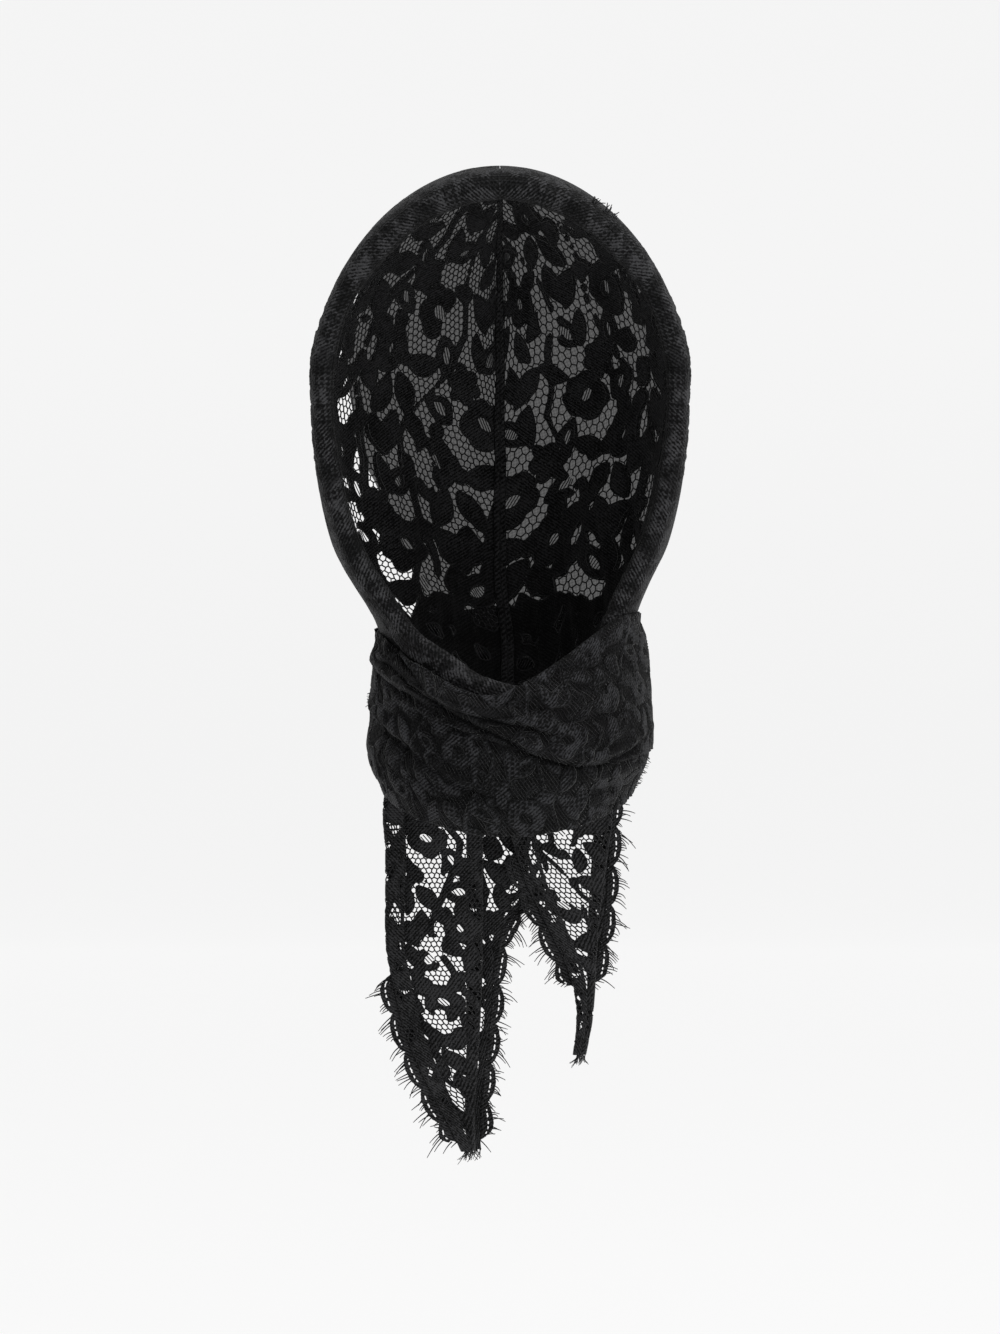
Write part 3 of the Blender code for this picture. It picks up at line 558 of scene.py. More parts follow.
def chart(s, t, fullness):
    """Clothwork (above 0 inside a motif) and eyes (above 0 inside a laddered opening)."""
    # The drawing wavers, so that no two repeats are quite the same
    wide = s + 1.6 * np.sin(t / 13.0 + 0.4) + 0.9 * np.sin(t / 5.7 + s / 11.0)
    tall = t + 1.5 * np.sin(s / 14.0 + 1.0) + 0.8 * np.sin(s / 6.1 - t / 9.0)
    solid, eyes = np.full(np.shape(s), -9.0), np.full(np.shape(s), -9.0)
    for m in CHART:
        column = np.round((wide - m.x) / COLUMN)
        x = wide - m.x - column * COLUMN
        y = (tall - m.y - column * DROP + CHART_TALL / 2) % CHART_TALL - CHART_TALL / 2
        turn = math.radians(m.turn)
        p, q = x * math.cos(turn) + y * math.sin(turn), y * math.cos(turn) - x * math.sin(turn)
        rho, around, half = np.hypot(p, q), np.arctan2(q, p), m.long / 2
        if m.kind == "stem":
            edge = m.wide / 2 - np.hypot(np.maximum(np.abs(p) - half, 0), q)
        elif m.kind in ("leaf", "eye"):
            share = np.clip(np.abs(p) / half, 0, 1)
            bowed = np.abs(q + 0.16 * m.wide * (1 - share**2))
            edge = 0.9 * (m.wide / 2 * (1 - share**1.9) - bowed) - np.maximum(np.abs(p) - half, 0)
            if m.kind == "eye":
                share = np.clip(np.abs(p) / (0.55 * half), 0, 1)
                past = np.maximum(np.abs(p) - 0.55 * half, 0)
                eyes = np.maximum(eyes, 0.9 * (m.wide * 0.26 * (1 - share**2) - bowed) - past)
        elif m.kind == "rose":
            edge = half * (0.80 + 0.20 * np.abs(np.cos(2.5 * around)) ** 0.6) - rho
            eyes = np.maximum(eyes, m.wide / 2 - np.hypot(p * 0.8, q * 1.15))
        elif m.kind == "aster":
            edge = half * (0.62 + 0.38 * np.abs(np.cos(3 * around)) ** 0.8) - rho
        else:
            edge = half - rho
        solid = np.maximum(solid, edge)
    return np.minimum(solid + fullness, -eyes), eyes


# ---------------------------------------------------------------- laid lace

FINE_NET, OPEN_NET, END_NET = (3.5, 4.3), (4.5, 5.8), (2.7, 3.3)  # net cells, wide and tall
LADDER_STEP, LADDER_TURN = 1.6, 52.0
BEAD = 1.9  # between two points of a ladder thread
NET_WANDER = 0.35  # how far a net's knots stray
THREAD_UNDER = 0.3  # how far a thread runs in under the clothwork
NET_IN_EYE, LADDER_PAST_EYE = 0.4, 0.9  # how far net runs into an eye, and a ladder past it
# Radii of the loose threads
LASH, TUFT, SIDE_LASH, FRAY, STITCH, RIM_CORD = 0.42, 0.5, 0.3, 0.34, 0.16, 0.38
LASH_THINS = 0.55  # share of a loose thread's radius lost at its tip
MOTIF_SHOULDER = 1.6  # a motif reaches its height this far in from its edge


# Search for a flat point on a surface: steps, longest step in grid places, least slope, and nearness
FIND_STEPS, FIND_REACH, FIND_SLOPE, FOUND = 40, 9, 0.05, 0.6


class Surface:
    """A piece's middle surface on a fine grid, with the way out of it and its flat millimetres."""

    def __init__(self, place, out, flat_from):
        self.place, self.out = place, out
        along, up = run_length(place, 0), run_length(place, 1)
        self.s = along - along[flat_from[0]]
        self.t = up - up[:, flat_from[1], None]

    def read(self, field, a, b):
        """A field of the grid between its points."""
        rows, cols = self.s.shape
        a, b = np.clip(a, 0, rows - 1.001), np.clip(b, 0, cols - 1.001)
        i, j = a.astype(int), b.astype(int)
        a, b = a - i, b - j
        if field.ndim == 3:
            a, b = a[..., None], b[..., None]
        low = field[i, j] * (1 - a) + field[i + 1, j] * a
        high = field[i, j + 1] * (1 - a) + field[i + 1, j + 1] * a
        return low * (1 - b) + high * b

    def at(self, a, b, out):
        return self.read(self.place, a, b) + self.read(self.out, a, b) * np.asarray(out)[..., None]

    def find(self, s, t):
        """Grid places of flat points, and which of the points lie on the surface."""
        rows, cols = self.s.shape
        step_s = [np.gradient(self.s, axis=k) for k in (0, 1)]
        step_t = [np.gradient(self.t, axis=k) for k in (0, 1)]
        a = np.full(s.shape, rows / 2.0)
        b = np.full(s.shape, cols / 2.0)
        for _ in range(FIND_STEPS):
            away_s, away_t = s - self.read(self.s, a, b), t - self.read(self.t, a, b)
            sa, sb = (self.read(step, a, b) for step in step_s)
            ta, tb = (self.read(step, a, b) for step in step_t)
            span = sa * tb - sb * ta
            span = np.where(np.abs(span) < FIND_SLOPE, FIND_SLOPE, span)
            step_a = np.clip((tb * away_s - sb * away_t) / span, -FIND_REACH, FIND_REACH)
            step_b = np.clip((sa * away_t - ta * away_s) / span, -FIND_REACH, FIND_REACH)
            a, b = np.clip(a + step_a, 0, rows - 1), np.clip(b + step_b, 0, cols - 1)
        away = np.hypot(s - self.read(self.s, a, b), t - self.read(self.t, a, b))
        return a, b, away < FOUND


CLOTH, THREAD = 0, 1  # a piece's material slots


class Work:
    """Points and faces of one piece as it grows, with each face's material and flat place."""

    def __init__(self, *materials):
        self.materials, self.count = materials, 0
        self.points, self.faces, self.slots, self.flat, self.raised = [], [], [], [], []

    def add(self, points, faces, slot=CLOTH, flat=None, raised=1.0):
        points = np.asarray(points, float)
        self.points.append(points)
        self.flat.append(np.zeros((len(points), 2)) if flat is None else np.asarray(flat, float))
        self.raised.append(np.broadcast_to(raised, len(points)))
        base = self.count
        self.faces.extend([tuple(base + k for k in face) for face in faces])
        self.slots.extend([slot] * len(faces))
        self.count += len(points)

    def draw(self, points, edges, thickness, sides=3):
        """Threads along edges, in the piece's thread material."""
        self.add(*draw_threads(points, edges, thickness, sides, self.materials[THREAD]), THREAD)

    def make(self, name):
        mesh = bpy.data.meshes.new(name)
        points = np.concatenate(self.points)
        mesh.from_pydata((points * METRES).tolist(), [], self.faces)
        mesh.polygons.foreach_set("material_index", np.array(self.slots, np.int32))
        layer = mesh.uv_layers.new(name="cloth")
        corners = np.zeros(len(mesh.loops), np.int32)
        mesh.loops.foreach_get("vertex_index", corners)
        flat = np.concatenate(self.flat) * METRES
        layer.data.foreach_set("uv", flat[corners].ravel())
        # Each point's tone for the cloth finish: 1 is full tone; lower values paint the open ground darker,
        # as the shade seen through it, and paint shade inside the hood, on the band's inner side, in the deep
        # folds and on inner skins
        mark = mesh.attributes.new("raised", "FLOAT", "POINT")
        mark.data.foreach_set("value", np.concatenate(self.raised).astype(np.float32))
        for material in self.materials:
            mesh.materials.append(material)
        mesh.update()
        mesh.shade_smooth()
        obj = bpy.data.objects.new(name, mesh)
        bpy.context.scene.collection.objects.link(obj)
        return obj


NEAREST_CUT = 0.08  # of a grid step, between a cut and the grid's points


def cut_out(solid):
    """Clothwork cut from a grid: points in grid places, faces, and the cut edges between them."""
    inside = solid > 0
    number = np.full(solid.shape, -1)
    number[inside] = np.arange(inside.sum())
    places = [tuple(p) for p in np.argwhere(inside).astype(float)]
    full = inside[:-1, :-1] & inside[1:, :-1] & inside[1:, 1:] & inside[:-1, 1:]
    i, j = np.nonzero(full)
    faces = np.stack([number[i, j], number[i + 1, j], number[i + 1, j + 1], number[i, j + 1]], 1)
    faces = faces.tolist()
    some = inside[:-1, :-1] | inside[1:, :-1] | inside[1:, 1:] | inside[:-1, 1:]
    crossings, cuts = {}, []

    def crossing(p, q):
        key = (min(p, q), max(p, q))
        if key not in crossings:
            share = solid[p] / (solid[p] - solid[q])
            share = min(max(share, NEAREST_CUT), 1 - NEAREST_CUT)
            crossings[key] = len(places)
            places.append((p[0] + (q[0] - p[0]) * share, p[1] + (q[1] - p[1]) * share))
        return crossings[key]

    for i, j in np.argwhere(some & ~full):
        corners = [(i, j), (i + 1, j), (i + 1, j + 1), (i, j + 1)]
        face, cut = [], []
        for p, q in zip(corners, corners[1:] + corners[:1]):
            if inside[p]:
                face.append(int(number[p]))
            if inside[p] != inside[q]:
                mark = crossing(p, q) if inside[p] else crossing(q, p)
                face.append(mark)
                cut.append(mark)
        if len(cut) == 2:
            faces.append(face)
            cuts.append((cut[0], cut[1]))
        elif inside[corners[0]]:  # cloth at two opposite corners only, one of them the first
            faces += [face[0:2] + face[-1:], face[2:5]]
            cuts += [(cut[3], cut[0]), (cut[1], cut[2])]
        else:
            faces += [face[0:3], face[3:6]]
            cuts += [(cut[0], cut[1]), (cut[2], cut[3])]
    return np.array(places), faces, cuts


def open_edges(faces):
    """Edges that only one face has, in that face's direction."""
    seen = {}
    for face in faces:
        for a, b in zip(face, face[1:] + face[:1]):
            seen[(a, b)] = seen.get((a, b), 0) + 1
    return [(a, b) for a, b in seen if (b, a) not in seen]


def quads(number):
    """The four-sided faces between the points of a grid."""
    corners = (number[:-1, :-1], number[1:, :-1], number[1:, 1:], number[:-1, 1:])
    return np.stack([corner.ravel() for corner in corners], 1).tolist()


def wall_faces(surface, faces, count):
    """Faces of a closed wall: its outer skin, the same for its inner skin, and the edges between."""
    if (grid_normal(surface.place) * surface.out).sum() <= 0:
        faces = [face[::-1] for face in faces]
    inner = [[count + k for k in reversed(face)] for face in faces]
    edges = [(q, p, count + p, count + q) for p, q in open_edges(faces)]
    return [*faces, *inner, *edges]


def add_clothwork(work, surface, solid, outer, inner, raised=None):
    """The motifs as a closed wall between two skins, and the line of their cut edges."""
    places, faces, cuts = cut_out(solid)
    a, b = places.T
    count = len(places)
    flat = np.stack([surface.read(surface.s, a, b), surface.read(surface.t, a, b)], 1)
    skins = np.concatenate([surface.at(a, b, outer(a, b)), surface.at(a, b, inner(a, b))])
    # The outer skin keeps full tone; the inner skin takes the given tone, which can carry painted shade
    high = np.ones(count) if raised is None else raised(a, b)
    marks = np.concatenate([np.ones(count), high])
    work.add(skins, wall_faces(surface, faces, count), CLOTH, np.concatenate([flat, flat]), marks)
    return places, cuts


def closed_wall(work, surface, outer, inner, raised=1.0):
    """A wall between two grids of points that lie along a surface."""
    count = surface.s.size
    flat = np.stack([surface.s, surface.t], -1).reshape(-1, 2)
    raised = np.broadcast_to(raised, surface.s.shape).ravel()
    points = np.concatenate([outer.reshape(-1, 3), inner.reshape(-1, 3)])
    walls = wall_faces(surface, quads(np.arange(count).reshape(surface.s.shape)), count)
    # The inner skin's tone is 0, which the cloth finish paints fully dark as painted shade
    marks = np.concatenate([raised, 0 * raised])
    work.add(points, walls, CLOTH, np.concatenate([flat, flat]), marks)


def cells(span, step):
    """The numbers of the cells that cover a span."""
    return np.arange(math.floor(span[0] / step), math.ceil(span[1] / step) + 1)


def net_lines(s_range, t_range, mesh):
    """A net of hexagons over a flat rectangle: its knots and the threads between them."""
    step_s, step_t = mesh[0] / 2, mesh[1] / 4
    columns = cells(s_range, step_s)
    rows = cells(t_range, 3 * step_t)
    knots, number = [], {}
    for r in rows:
        for c in columns:
            low = (c + r) % 2
            number[(c, r)] = len(knots)
            wander = NET_WANDER * math.sin(c * 2.1 + r * 3.7)
            knots.append((c * step_s + wander, r * 3 * step_t + (step_t / 2 if low else -step_t / 2)))
    threads = []
    for r in rows:
        for c in columns:
            if (c + 1, r) in number:
                threads.append((number[(c, r)], number[(c + 1, r)]))
            if (c + r) % 2 and (c, r + 1) in number:
                threads.append((number[(c, r)], number[(c, r + 1)]))
    return np.array(knots), np.array(threads)


def ladder_lines(s_range, t_range):
    """Parallel threads over a flat rectangle."""
    turn = math.radians(LADDER_TURN)
    along = np.array([math.cos(turn), math.sin(turn)])
    across = np.array([-math.sin(turn), math.cos(turn)])
    middle = np.array([sum(s_range) / 2, sum(t_range) / 2])
    reach = math.hypot(s_range[1] - s_range[0], t_range[1] - t_range[0]) / 2
    lines = np.arange(-reach, reach, LADDER_STEP)
    beads = np.arange(-reach, reach, BEAD)
    p, q = np.meshgrid(beads, lines)
    knots = middle + p[..., None] * along + q[..., None] * across
    number = np.arange(p.size).reshape(p.shape)
    threads = np.stack([number[:, :-1].ravel(), number[:, 1:].ravel()], 1)
    return knots.reshape(-1, 2), threads


LASH_POINTS = 6


def add_lashes(work, roots, ways, curls, thick):
    """Loose threads from their roots, each bending over and thinning towards its tip."""
    share = np.linspace(0, 1, LASH_POINTS)[None, :, None]
    points = roots[:, None] + ways[:, None] * share + curls[:, None] * share**2
    thin = np.broadcast_to(thick * (1 - LASH_THINS * share[..., 0]), points.shape[:2]).ravel()
    number = np.arange(len(thin)).reshape(-1, LASH_POINTS)
    edges = np.stack([number[:, :-1].ravel(), number[:, 1:].ravel()], 1)
    work.draw(points.reshape(-1, 3), edges, thin)


def used(places, threads):
    """Only the places that a thread uses, with the threads renumbered."""
    marks, back = np.unique(threads, return_inverse=True)
    return places[marks], back.reshape(threads.shape)


THREAD_NODES = {
    "start": "NodeGroupInput",
    "curves": "GeometryNodeMeshToCurve",
    "thick": "GeometryNodeInputNamedAttribute",
    "radius": "GeometryNodeSetCurveRadius",
    "profile": "GeometryNodeCurvePrimitiveCircle",
    "drawn": "GeometryNodeCurveToMesh",
    "real": "GeometryNodeRealizeInstances",
    "dressed": "GeometryNodeSetMaterial",
    "end": "NodeGroupOutput",
}
THREAD_LINKS = [
    ("start", "Geometry", "curves", "Mesh"),
    ("curves", "Curve", "radius", "Curve"),
    ("thick", "Attribute", "radius", "Radius"),
    ("radius", "Curve", "drawn", "Curve"),
    ("start", "Sides", "profile", "Resolution"),
    ("profile", "Curve", "drawn", "Profile Curve"),
    ("thick", "Attribute", "drawn", "Scale"),
    ("drawn", "Mesh", "real", "Geometry"),
    ("real", "Geometry", "dressed", "Geometry"),
    ("start", "Cloth", "dressed", "Material"),
    ("dressed", "Geometry", "end", "Geometry"),
]


def thread_tree():
    """Geometry nodes that draw every edge as a round thread of its own thickness."""
    tree = bpy.data.node_groups.new("Threads", "GeometryNodeTree")
    for name, way, kind in (
        ("Geometry", "INPUT", "Geometry"), ("Sides", "INPUT", "Int"), ("Cloth", "INPUT", "Material"),
        ("Geometry", "OUTPUT", "Geometry"),
    ):
        socket = tree.interface.new_socket(name, in_out=way, socket_type="NodeSocket" + kind)
        if name == "Sides":
            socket.default_value, socket.min_value = 4, 3
    nodes = {name: tree.nodes.new(kind) for name, kind in THREAD_NODES.items()}
    nodes["thick"].data_type = "FLOAT"
    nodes["thick"].inputs["Name"].default_value = "thickness"
    nodes["profile"].inputs["Radius"].default_value = 1.0
    nodes["drawn"].inputs["Fill Caps"].default_value = True
    for source, output, target, entry in THREAD_LINKS:
        tree.links.new(nodes[source].outputs[output], nodes[target].inputs[entry])
    return tree


def draw_threads(points, edges, thickness, sides, cloth):
    """Threads along edges, as plain points and faces in millimetres."""
    mesh = bpy.data.meshes.new("threads")
    mesh.from_pydata((np.asarray(points) * METRES).tolist(), np.asarray(edges).tolist(), [])
    layer = mesh.attributes.new("thickness", "FLOAT", "POINT")
    radii = np.broadcast_to(thickness, len(points)).astype(np.float32) * METRES
    layer.data.foreach_set("value", radii)
    obj = bpy.data.objects.new("threads", mesh)
    bpy.context.scene.collection.objects.link(obj)
    tree = bpy.data.node_groups.get("Threads") or thread_tree()
    modifier = obj.modifiers.new("Threads", "NODES")
    modifier.node_group = tree
    for item in tree.interface.items_tree:
        if item.name in ("Sides", "Cloth"):
            modifier[item.identifier] = sides if item.name == "Sides" else cloth
    evaluated = obj.evaluated_get(bpy.context.evaluated_depsgraph_get())
    drawn = bpy.data.meshes.new_from_object(evaluated)
    flat = np.zeros(len(drawn.vertices) * 3)
    drawn.vertices.foreach_get("co", flat)
    faces = [tuple(polygon.vertices) for polygon in drawn.polygons]
    bpy.data.objects.remove(obj)
    bpy.data.meshes.remove(mesh)
    bpy.data.meshes.remove(drawn)
    return flat.reshape(-1, 3) / METRES, faces


def level_at(height):
    """The same level everywhere on a surface."""
    return lambda a, b: height + 0 * a


def add_cord(work, surface, places, cuts, level, thick, sides=3):
    """A cord standing up along cut edges."""
    grid, edges = used(places, np.array(cuts))
    a, b = grid.T
    work.draw(surface.at(a, b, level(a, b)), edges, thick, sides)


def add_threads(work, surface, solid, eyes, places, cuts, levels, mesh, lace):
    """The cord standing up round the motifs, the net between them and the ladders in their eyes."""
    add_cord(work, surface, places, cuts, levels["cord"], lace.cord)
    s_range = (surface.s.min(), surface.s.max())
    t_range = (surface.t.min(), surface.t.max())
    for kind, (knots, threads), thick in (
        ("net", net_lines(s_range, t_range, mesh), lace.net),
        ("ladder", ladder_lines(s_range, t_range), lace.ladder),
    ):
        a, b, on = surface.find(knots[:, 0], knots[:, 1])
        own_eyes = surface.read(eyes, a, b)[threads]
        keep = on[threads].all(1) & (surface.read(solid, a, b)[threads].min(1) < THREAD_UNDER)
        if kind == "net":
            keep &= own_eyes.max(1) < NET_IN_EYE
        else:
            keep &= own_eyes.min(1) > -LADDER_PAST_EYE
        if keep.any():
            grid, threads = used(np.stack([a, b], 1), threads[keep])
            a, b = grid.T
            work.draw(surface.at(a, b, levels[kind](a, b)), threads, thick)


# ---------------------------------------------------------------- pieces


def grid_out(place, towards):
    """The way out of a grid of points, on the side that `towards` points to."""
    normal = unit(grid_normal(place) + 1e-9)
    return normal * np.sign((normal * towards).sum(-1, keepdims=True) + 1e-9)


def hemmed(solid, *edges):
    """Clothwork without openings within a width of each edge, given as distances and widths."""
    for distance, width in edges:
        solid = np.maximum(solid, width - distance)
    return solid


def open_window(solid, surface, a, b, wide, tall):
    """A net window with a wavering edge round an open cell of the part."""
    s0, t0 = (float(surface.read(field, np.array([a]), np.array([b]))[0]) for field in (surface.s, surface.t))
    x, y = (surface.s - s0) / wide, (surface.t - t0) / tall
    turn = np.arctan2(y, x)
    wave = 1 + 0.16 * np.sin(3 * turn + s0) + 0.10 * np.sin(5 * turn + t0)
    return np.minimum(solid, (np.hypot(x, y) / wave - 1) * min(wide, tall))


def motif_rise(surface, solid, rise):
    """How far a motif stands over its edge, at any place of it."""
    return lambda a, b: rise * np.clip(surface.read(solid, a, b) / MOTIF_SHOULDER, 0, 1)


Gather = namedtuple("Gather", "across depth phase")
GATHERS = [Gather(9.5, 0.55, 0.0), Gather(6.1, 0.35, 1.0)]  # small folds over the back, in mm


def gather_depth(place, side):
    """Small upright folds where the cloth is drawn in towards the neck."""
    along = np.abs(place[..., 0]) + 0.06 * side * (place[..., 2] + 150)
    depth = sum(
        g.depth * np.sin(2 * math.pi * along / g.across + g.phase + side + place[..., 2] / 31.0)
        for g in GATHERS
    )
    return depth * ease(place[..., 2], -95, -160) * ease(place[..., 1], 20, 60)


ALLOWANCE, ALLOWANCE_STEP = 12, 1.6  # rows of cloth that run on inside the winding
HOOD_GRID = (122, 146)  # a panel's points, rim to centre back and crown to neck


def panel_surface(panel, side):
    """The middle of a panel's lace, gathered, and run on below the neck's edge."""
    cols, rows = HOOD_GRID
    u, v = np.meshgrid(np.linspace(0, 1, cols), np.linspace(0, 1, rows), indexing="ij")
    depth = gather_depth(panel.at(u, v, 0.0, side), side)
    inner, outer = panel.at(u, v, depth, side), panel.at(u, v, depth + LACE, side)
    middle, out = (inner + outer) / 2, unit(outer - inner)
    drop = np.arange(1, ALLOWANCE + 1)[None, :, None] * ALLOWANCE_STEP
    down = drop * unit(middle[:, -1:] - middle[:, -4:-3])
    middle = np.concatenate([middle, middle[:, -1:] + down], 1)
    out = np.concatenate([out, np.repeat(out[:, -1:], ALLOWANCE, 1)], 1)
    return Surface(middle, out, (cols - 1, rows // 2))


Backing = namedtuple("Backing", "share left right")
BACKING = [  # where the tulle starts between the rim (0) and the centre back (1), crown to neck
    Backing(0.0, 0.44, 0.37),
    Backing(0.35, 0.46, 0.37),
    Backing(0.6, 0.62, 0.42),
    Backing(1.0, 0.78, 0.52),
]
BACKING_DEPTH = LINING_GAP + 0.05  # the tulle's outer face, under the inner face of the part's lace
TULLE_WALL = 0.12
HOOD_RISE, END_RISE = 0.30, 0.28  # of a motif's middle over its edge
CORD_SINKS = 1.08  # how deep the cord is against the net, so that it shows inside the hood
# Where a side's pattern starts in the chart, how much fuller it is towards the rim, the size of its outer
# net windows against the ones over the back, and its net
HoodCut = namedtuple("HoodCut", "start fuller_from fuller_to fuller first_window second_window net")
HOOD_CUTS = {
    -1: HoodCut(-22.0, 0.25, 0.62, 2.3, 0.38, 0.5, FINE_NET),
    1: HoodCut(14.0, 0.30, 0.55, 2.5, 0.42, 0.42, OPEN_NET),
}


def backing_edge(side, v):
    """Where the tulle starts on a panel, v of the way from the crown to the neck."""
    return smooth(BACKING, "share", "left" if side < 0 else "right", v)


def hood_pattern(surface, side, lace):
    """The chart on a panel: fuller towards the rim and the neck, open over the back."""
    (cols, rows), cut = HOOD_GRID, HOOD_CUTS[side]
    v = np.arange(rows + ALLOWANCE) / (rows - 1)
    u, v = np.meshgrid(np.linspace(0, 1, cols), v, indexing="ij")
    front = 1 - ease(u, cut.fuller_from, cut.fuller_to)
    low = ease(v, 0.5, 0.8) + 1.4 * ease(v, 0.84, 0.97)
    high = (1 - ease(v, 0.35, 0.6)) * ease(u, 0.45, 0.7)
    swing = 0.5 * np.sin(surface.s / 9.0) * np.sin(surface.t / 13.0)
    full = lace.fullness - 0.35 - 0.5 * high + cut.fuller * front + 0.9 * low + swing
    span = np.abs(surface.s)
    flat_s = surface.s * (0.72 + 0.24 * span / span.max()) + cut.start
    solid, eyes = chart(flat_s, surface.t * 0.8 + 10, full)
    shares = {1: cut.first_window, REPEAT: cut.second_window}  # the two columns next to the rim
    for i, j in sorted(panel_windows()):
        a, b = (i + 0.5) / PANEL_COLS * (cols - 1), (j + 0.5) / PANEL_ROWS * (rows - 1)
        wide = lace.window * shares.get(i, 1.0)
        solid = open_window(solid, surface, a, b, wide, 1.35 * wide)
    solid = hemmed(
        solid,
        (surface.s - surface.s[0], 6.0),
        (surface.s[-1] - surface.s, 1.2 + 1.4 * ease(v, 0.45, 0.75)),
        (surface.t - surface.t[:, :1], 1.6),
        (surface.t[:, -1:] - surface.t, 4.0),
    )
    return solid, eyes


def make_hood_piece(panel, side, name, cloth, thread, lace):
    """Half of the hood: motifs, cords and net, sunk to the tulle where it backs them."""
    surface = panel_surface(panel, side)
    solid, eyes = hood_pattern(surface, side, lace)
    work = Work(cloth, thread)
    cols, rows = HOOD_GRID

    def sunk(a, b):
        start = backing_edge(side, b / (rows - 1))
        depth = BACKING_DEPTH + LACE / 2 + TULLE_WALL / 2
        return depth * ease(a / (cols - 1), start - 0.07, start)

    # Painted shade on the inner skin: darker low in the hood towards the neck, and darker towards the rim
    def painted_inner_shade(a, b):
        inside = 1 - 0.75 * ease(b / (rows - 1), 0.62, 0.95)
        return inside * (0.2 + 0.8 * ease(a / (cols - 1), 0.1, 0.5))

    def under(a, b):
        return -0.1 - rise(a, b) - sunk(a, b) * CORD_SINKS

    rise = motif_rise(surface, solid, HOOD_RISE)
    places, cuts = add_clothwork(work, surface, solid, rise, under, painted_inner_shade)
    levels = {"cord": lambda a, b: -0.15 - sunk(a, b) * CORD_SINKS}
    levels["net"] = levels["ladder"] = lambda a, b: -sunk(a, b)
    add_threads(work, surface, solid, eyes, places, cuts, levels, HOOD_CUTS[side].net, lace)
    # Where the cord is sunk, the outer face has one of its own
    apart = sunk(*places.T) > 0.5
    cuts = [cut for cut in cuts if apart[cut[0]] and apart[cut[1]]]
    add_cord(work, surface, places, cuts, level_at(0.06), lace.cord)
    return work.make(name)


def make_lining_piece(panel, side, name, tulle):
    """The tulle behind the motifs, from its own edge to the centre back."""
    share, v = np.meshgrid(np.linspace(0, 1, 40), np.linspace(0, 1, 80), indexing="ij")
    start = backing_edge(side, v)
    u = start + (1 - start) * share
    depth = gather_depth(panel.at(u, v, 0.0, side), side) - BACKING_DEPTH
    outer, inner = panel.at(u, v, depth, side), panel.at(u, v, depth - TULLE_WALL, side)
    work = Work(tulle)
    closed_wall(work, Surface(outer, unit(outer - inner), (39, 40)), outer, inner)
    return work.make(name)


def sweep_faces(stations, around):
    """Faces of a closed section carried along a path, with both ends closed."""
    faces = [tuple(reversed(range(around)))]
    for s in range(stations - 1):
        for k in range(around):
            n = (k + 1) % around
            faces.append((s * around + k, s * around + n, (s + 1) * around + n, (s + 1) * around + k))
    faces.append(tuple((stations - 1) * around + k for k in range(around)))
    return faces


def outward_faces(points, faces):
    """Faces turned so that their volume is positive."""
    volume = 0.0
    for face in faces:
        for k in range(1, len(face) - 1):
            volume += np.dot(points[face[0]], np.cross(points[face[k]], points[face[k + 1]]))
    return faces if volume > 0 else [face[::-1] for face in faces]


SEAM_POINTS = 200
SEAM_SECTION = [  # across, in half widths, and out from the seam's own level
    (-1, 0.1), (-0.85, 0.5), (-0.12, 0.62), (0, 0.2), (0.12, 0.62), (0.85, 0.5), (1, 0.1), (0, -0.3),
]
SEAM_LEVEL = -LINING_GAP - LACE - LAYER - 0.2
STITCH_LEVEL, STITCH_EVERY = SEAM_LEVEL - 0.65, 3


def make_seam_piece(name, tape, thread):
    """The pressed seam allowance, with a row of stitches down each side."""
    run_on = 14  # points below the nape
    line = even(midline_path(), np.linspace(0.03, 0.985, SEAM_POINTS - run_on))
    down = unit(line[-1:] - line[-3:-2]) * np.arange(1, run_on + 1)[:, None] * 1.5
    line = np.concatenate([line, line[-1:] + down])
    normal = form_normal(line)
    shift = np.zeros_like(line)
    shift[:, 0] = NECK_SHIFT * ease(line[:, 2], SHIFT_FROM, SHIFT_TO)
    folds = fold_depth(line)[:, None]
    number = np.arange(SEAM_POINTS)
    wander = 0.25 * np.sin(number / 4.0)[:, None]
    half = SEAM_HALF * (0.34 + 0.46 * ease(number, 60, 150))[:, None]
    across = np.array([1.0, 0, 0])
    sections = np.stack([
        line + normal * (SEAM_LEVEL - out + folds) + across * (x * half + wander * abs(x)) + shift
        for x, out in SEAM_SECTION
    ], 1)
    points = sections.reshape(-1, 3)
    work = Work(tape, thread)
    corners = len(SEAM_SECTION)
    flat = [np.tile(np.linspace(0, 9, corners), SEAM_POINTS), np.repeat(number * 1.4, corners)]
    faces = outward_faces(points, sweep_faces(*sections.shape[:2]))
    work.add(points, faces, CLOTH, np.stack(flat, 1))
    stitches = np.array([(k, k + 1) for k in range(0, SEAM_POINTS - 2, STITCH_EVERY)])
    for side in (-0.5, 0.5):
        row = line + normal * (STITCH_LEVEL + folds) + across * side * 0.45 * SEAM_HALF + shift
        work.draw(row, stitches, STITCH, 4)
    return work.make(name)


BAND_SCALE, WRAP_SCALE, END_SCALE = 1.3, 1.2, 1.25  # chart to cloth; the larger, the finer the lace


def band_section(radius):
    """The rolled edge's section, its flat place and the way out of it."""
    middle = BAND / 2
    top = LACE + LAYER + middle
    turn = np.radians(np.linspace(90, -90, 13))
    line = [(-BAND_LEG, top), (-BAND_LEG * 0.66, top + 0.1), (-BAND_LEG * 0.33, top + 0.1)]
    line += [(radius * math.cos(a), top - radius + radius * math.sin(a)) for a in turn]
    line += [(-BAND_INNER * 0.5, top - 2 * radius), (-BAND_INNER, top - 2 * radius)]
    line = np.array(line)
    mark = run_length(line)
    even_mark = np.linspace(0, mark[-1], 28)
    line = read_path(even_mark, mark, line)
    along = unit(np.gradient(line, axis=0))
    away = np.stack([-along[:, 1], along[:, 0]], -1)
    across = away * middle
    section = np.concatenate([line + across, (line - across)[::-1]])
    return section, np.concatenate([even_mark, even_mark[::-1]]), np.concatenate([away, 0 * away])


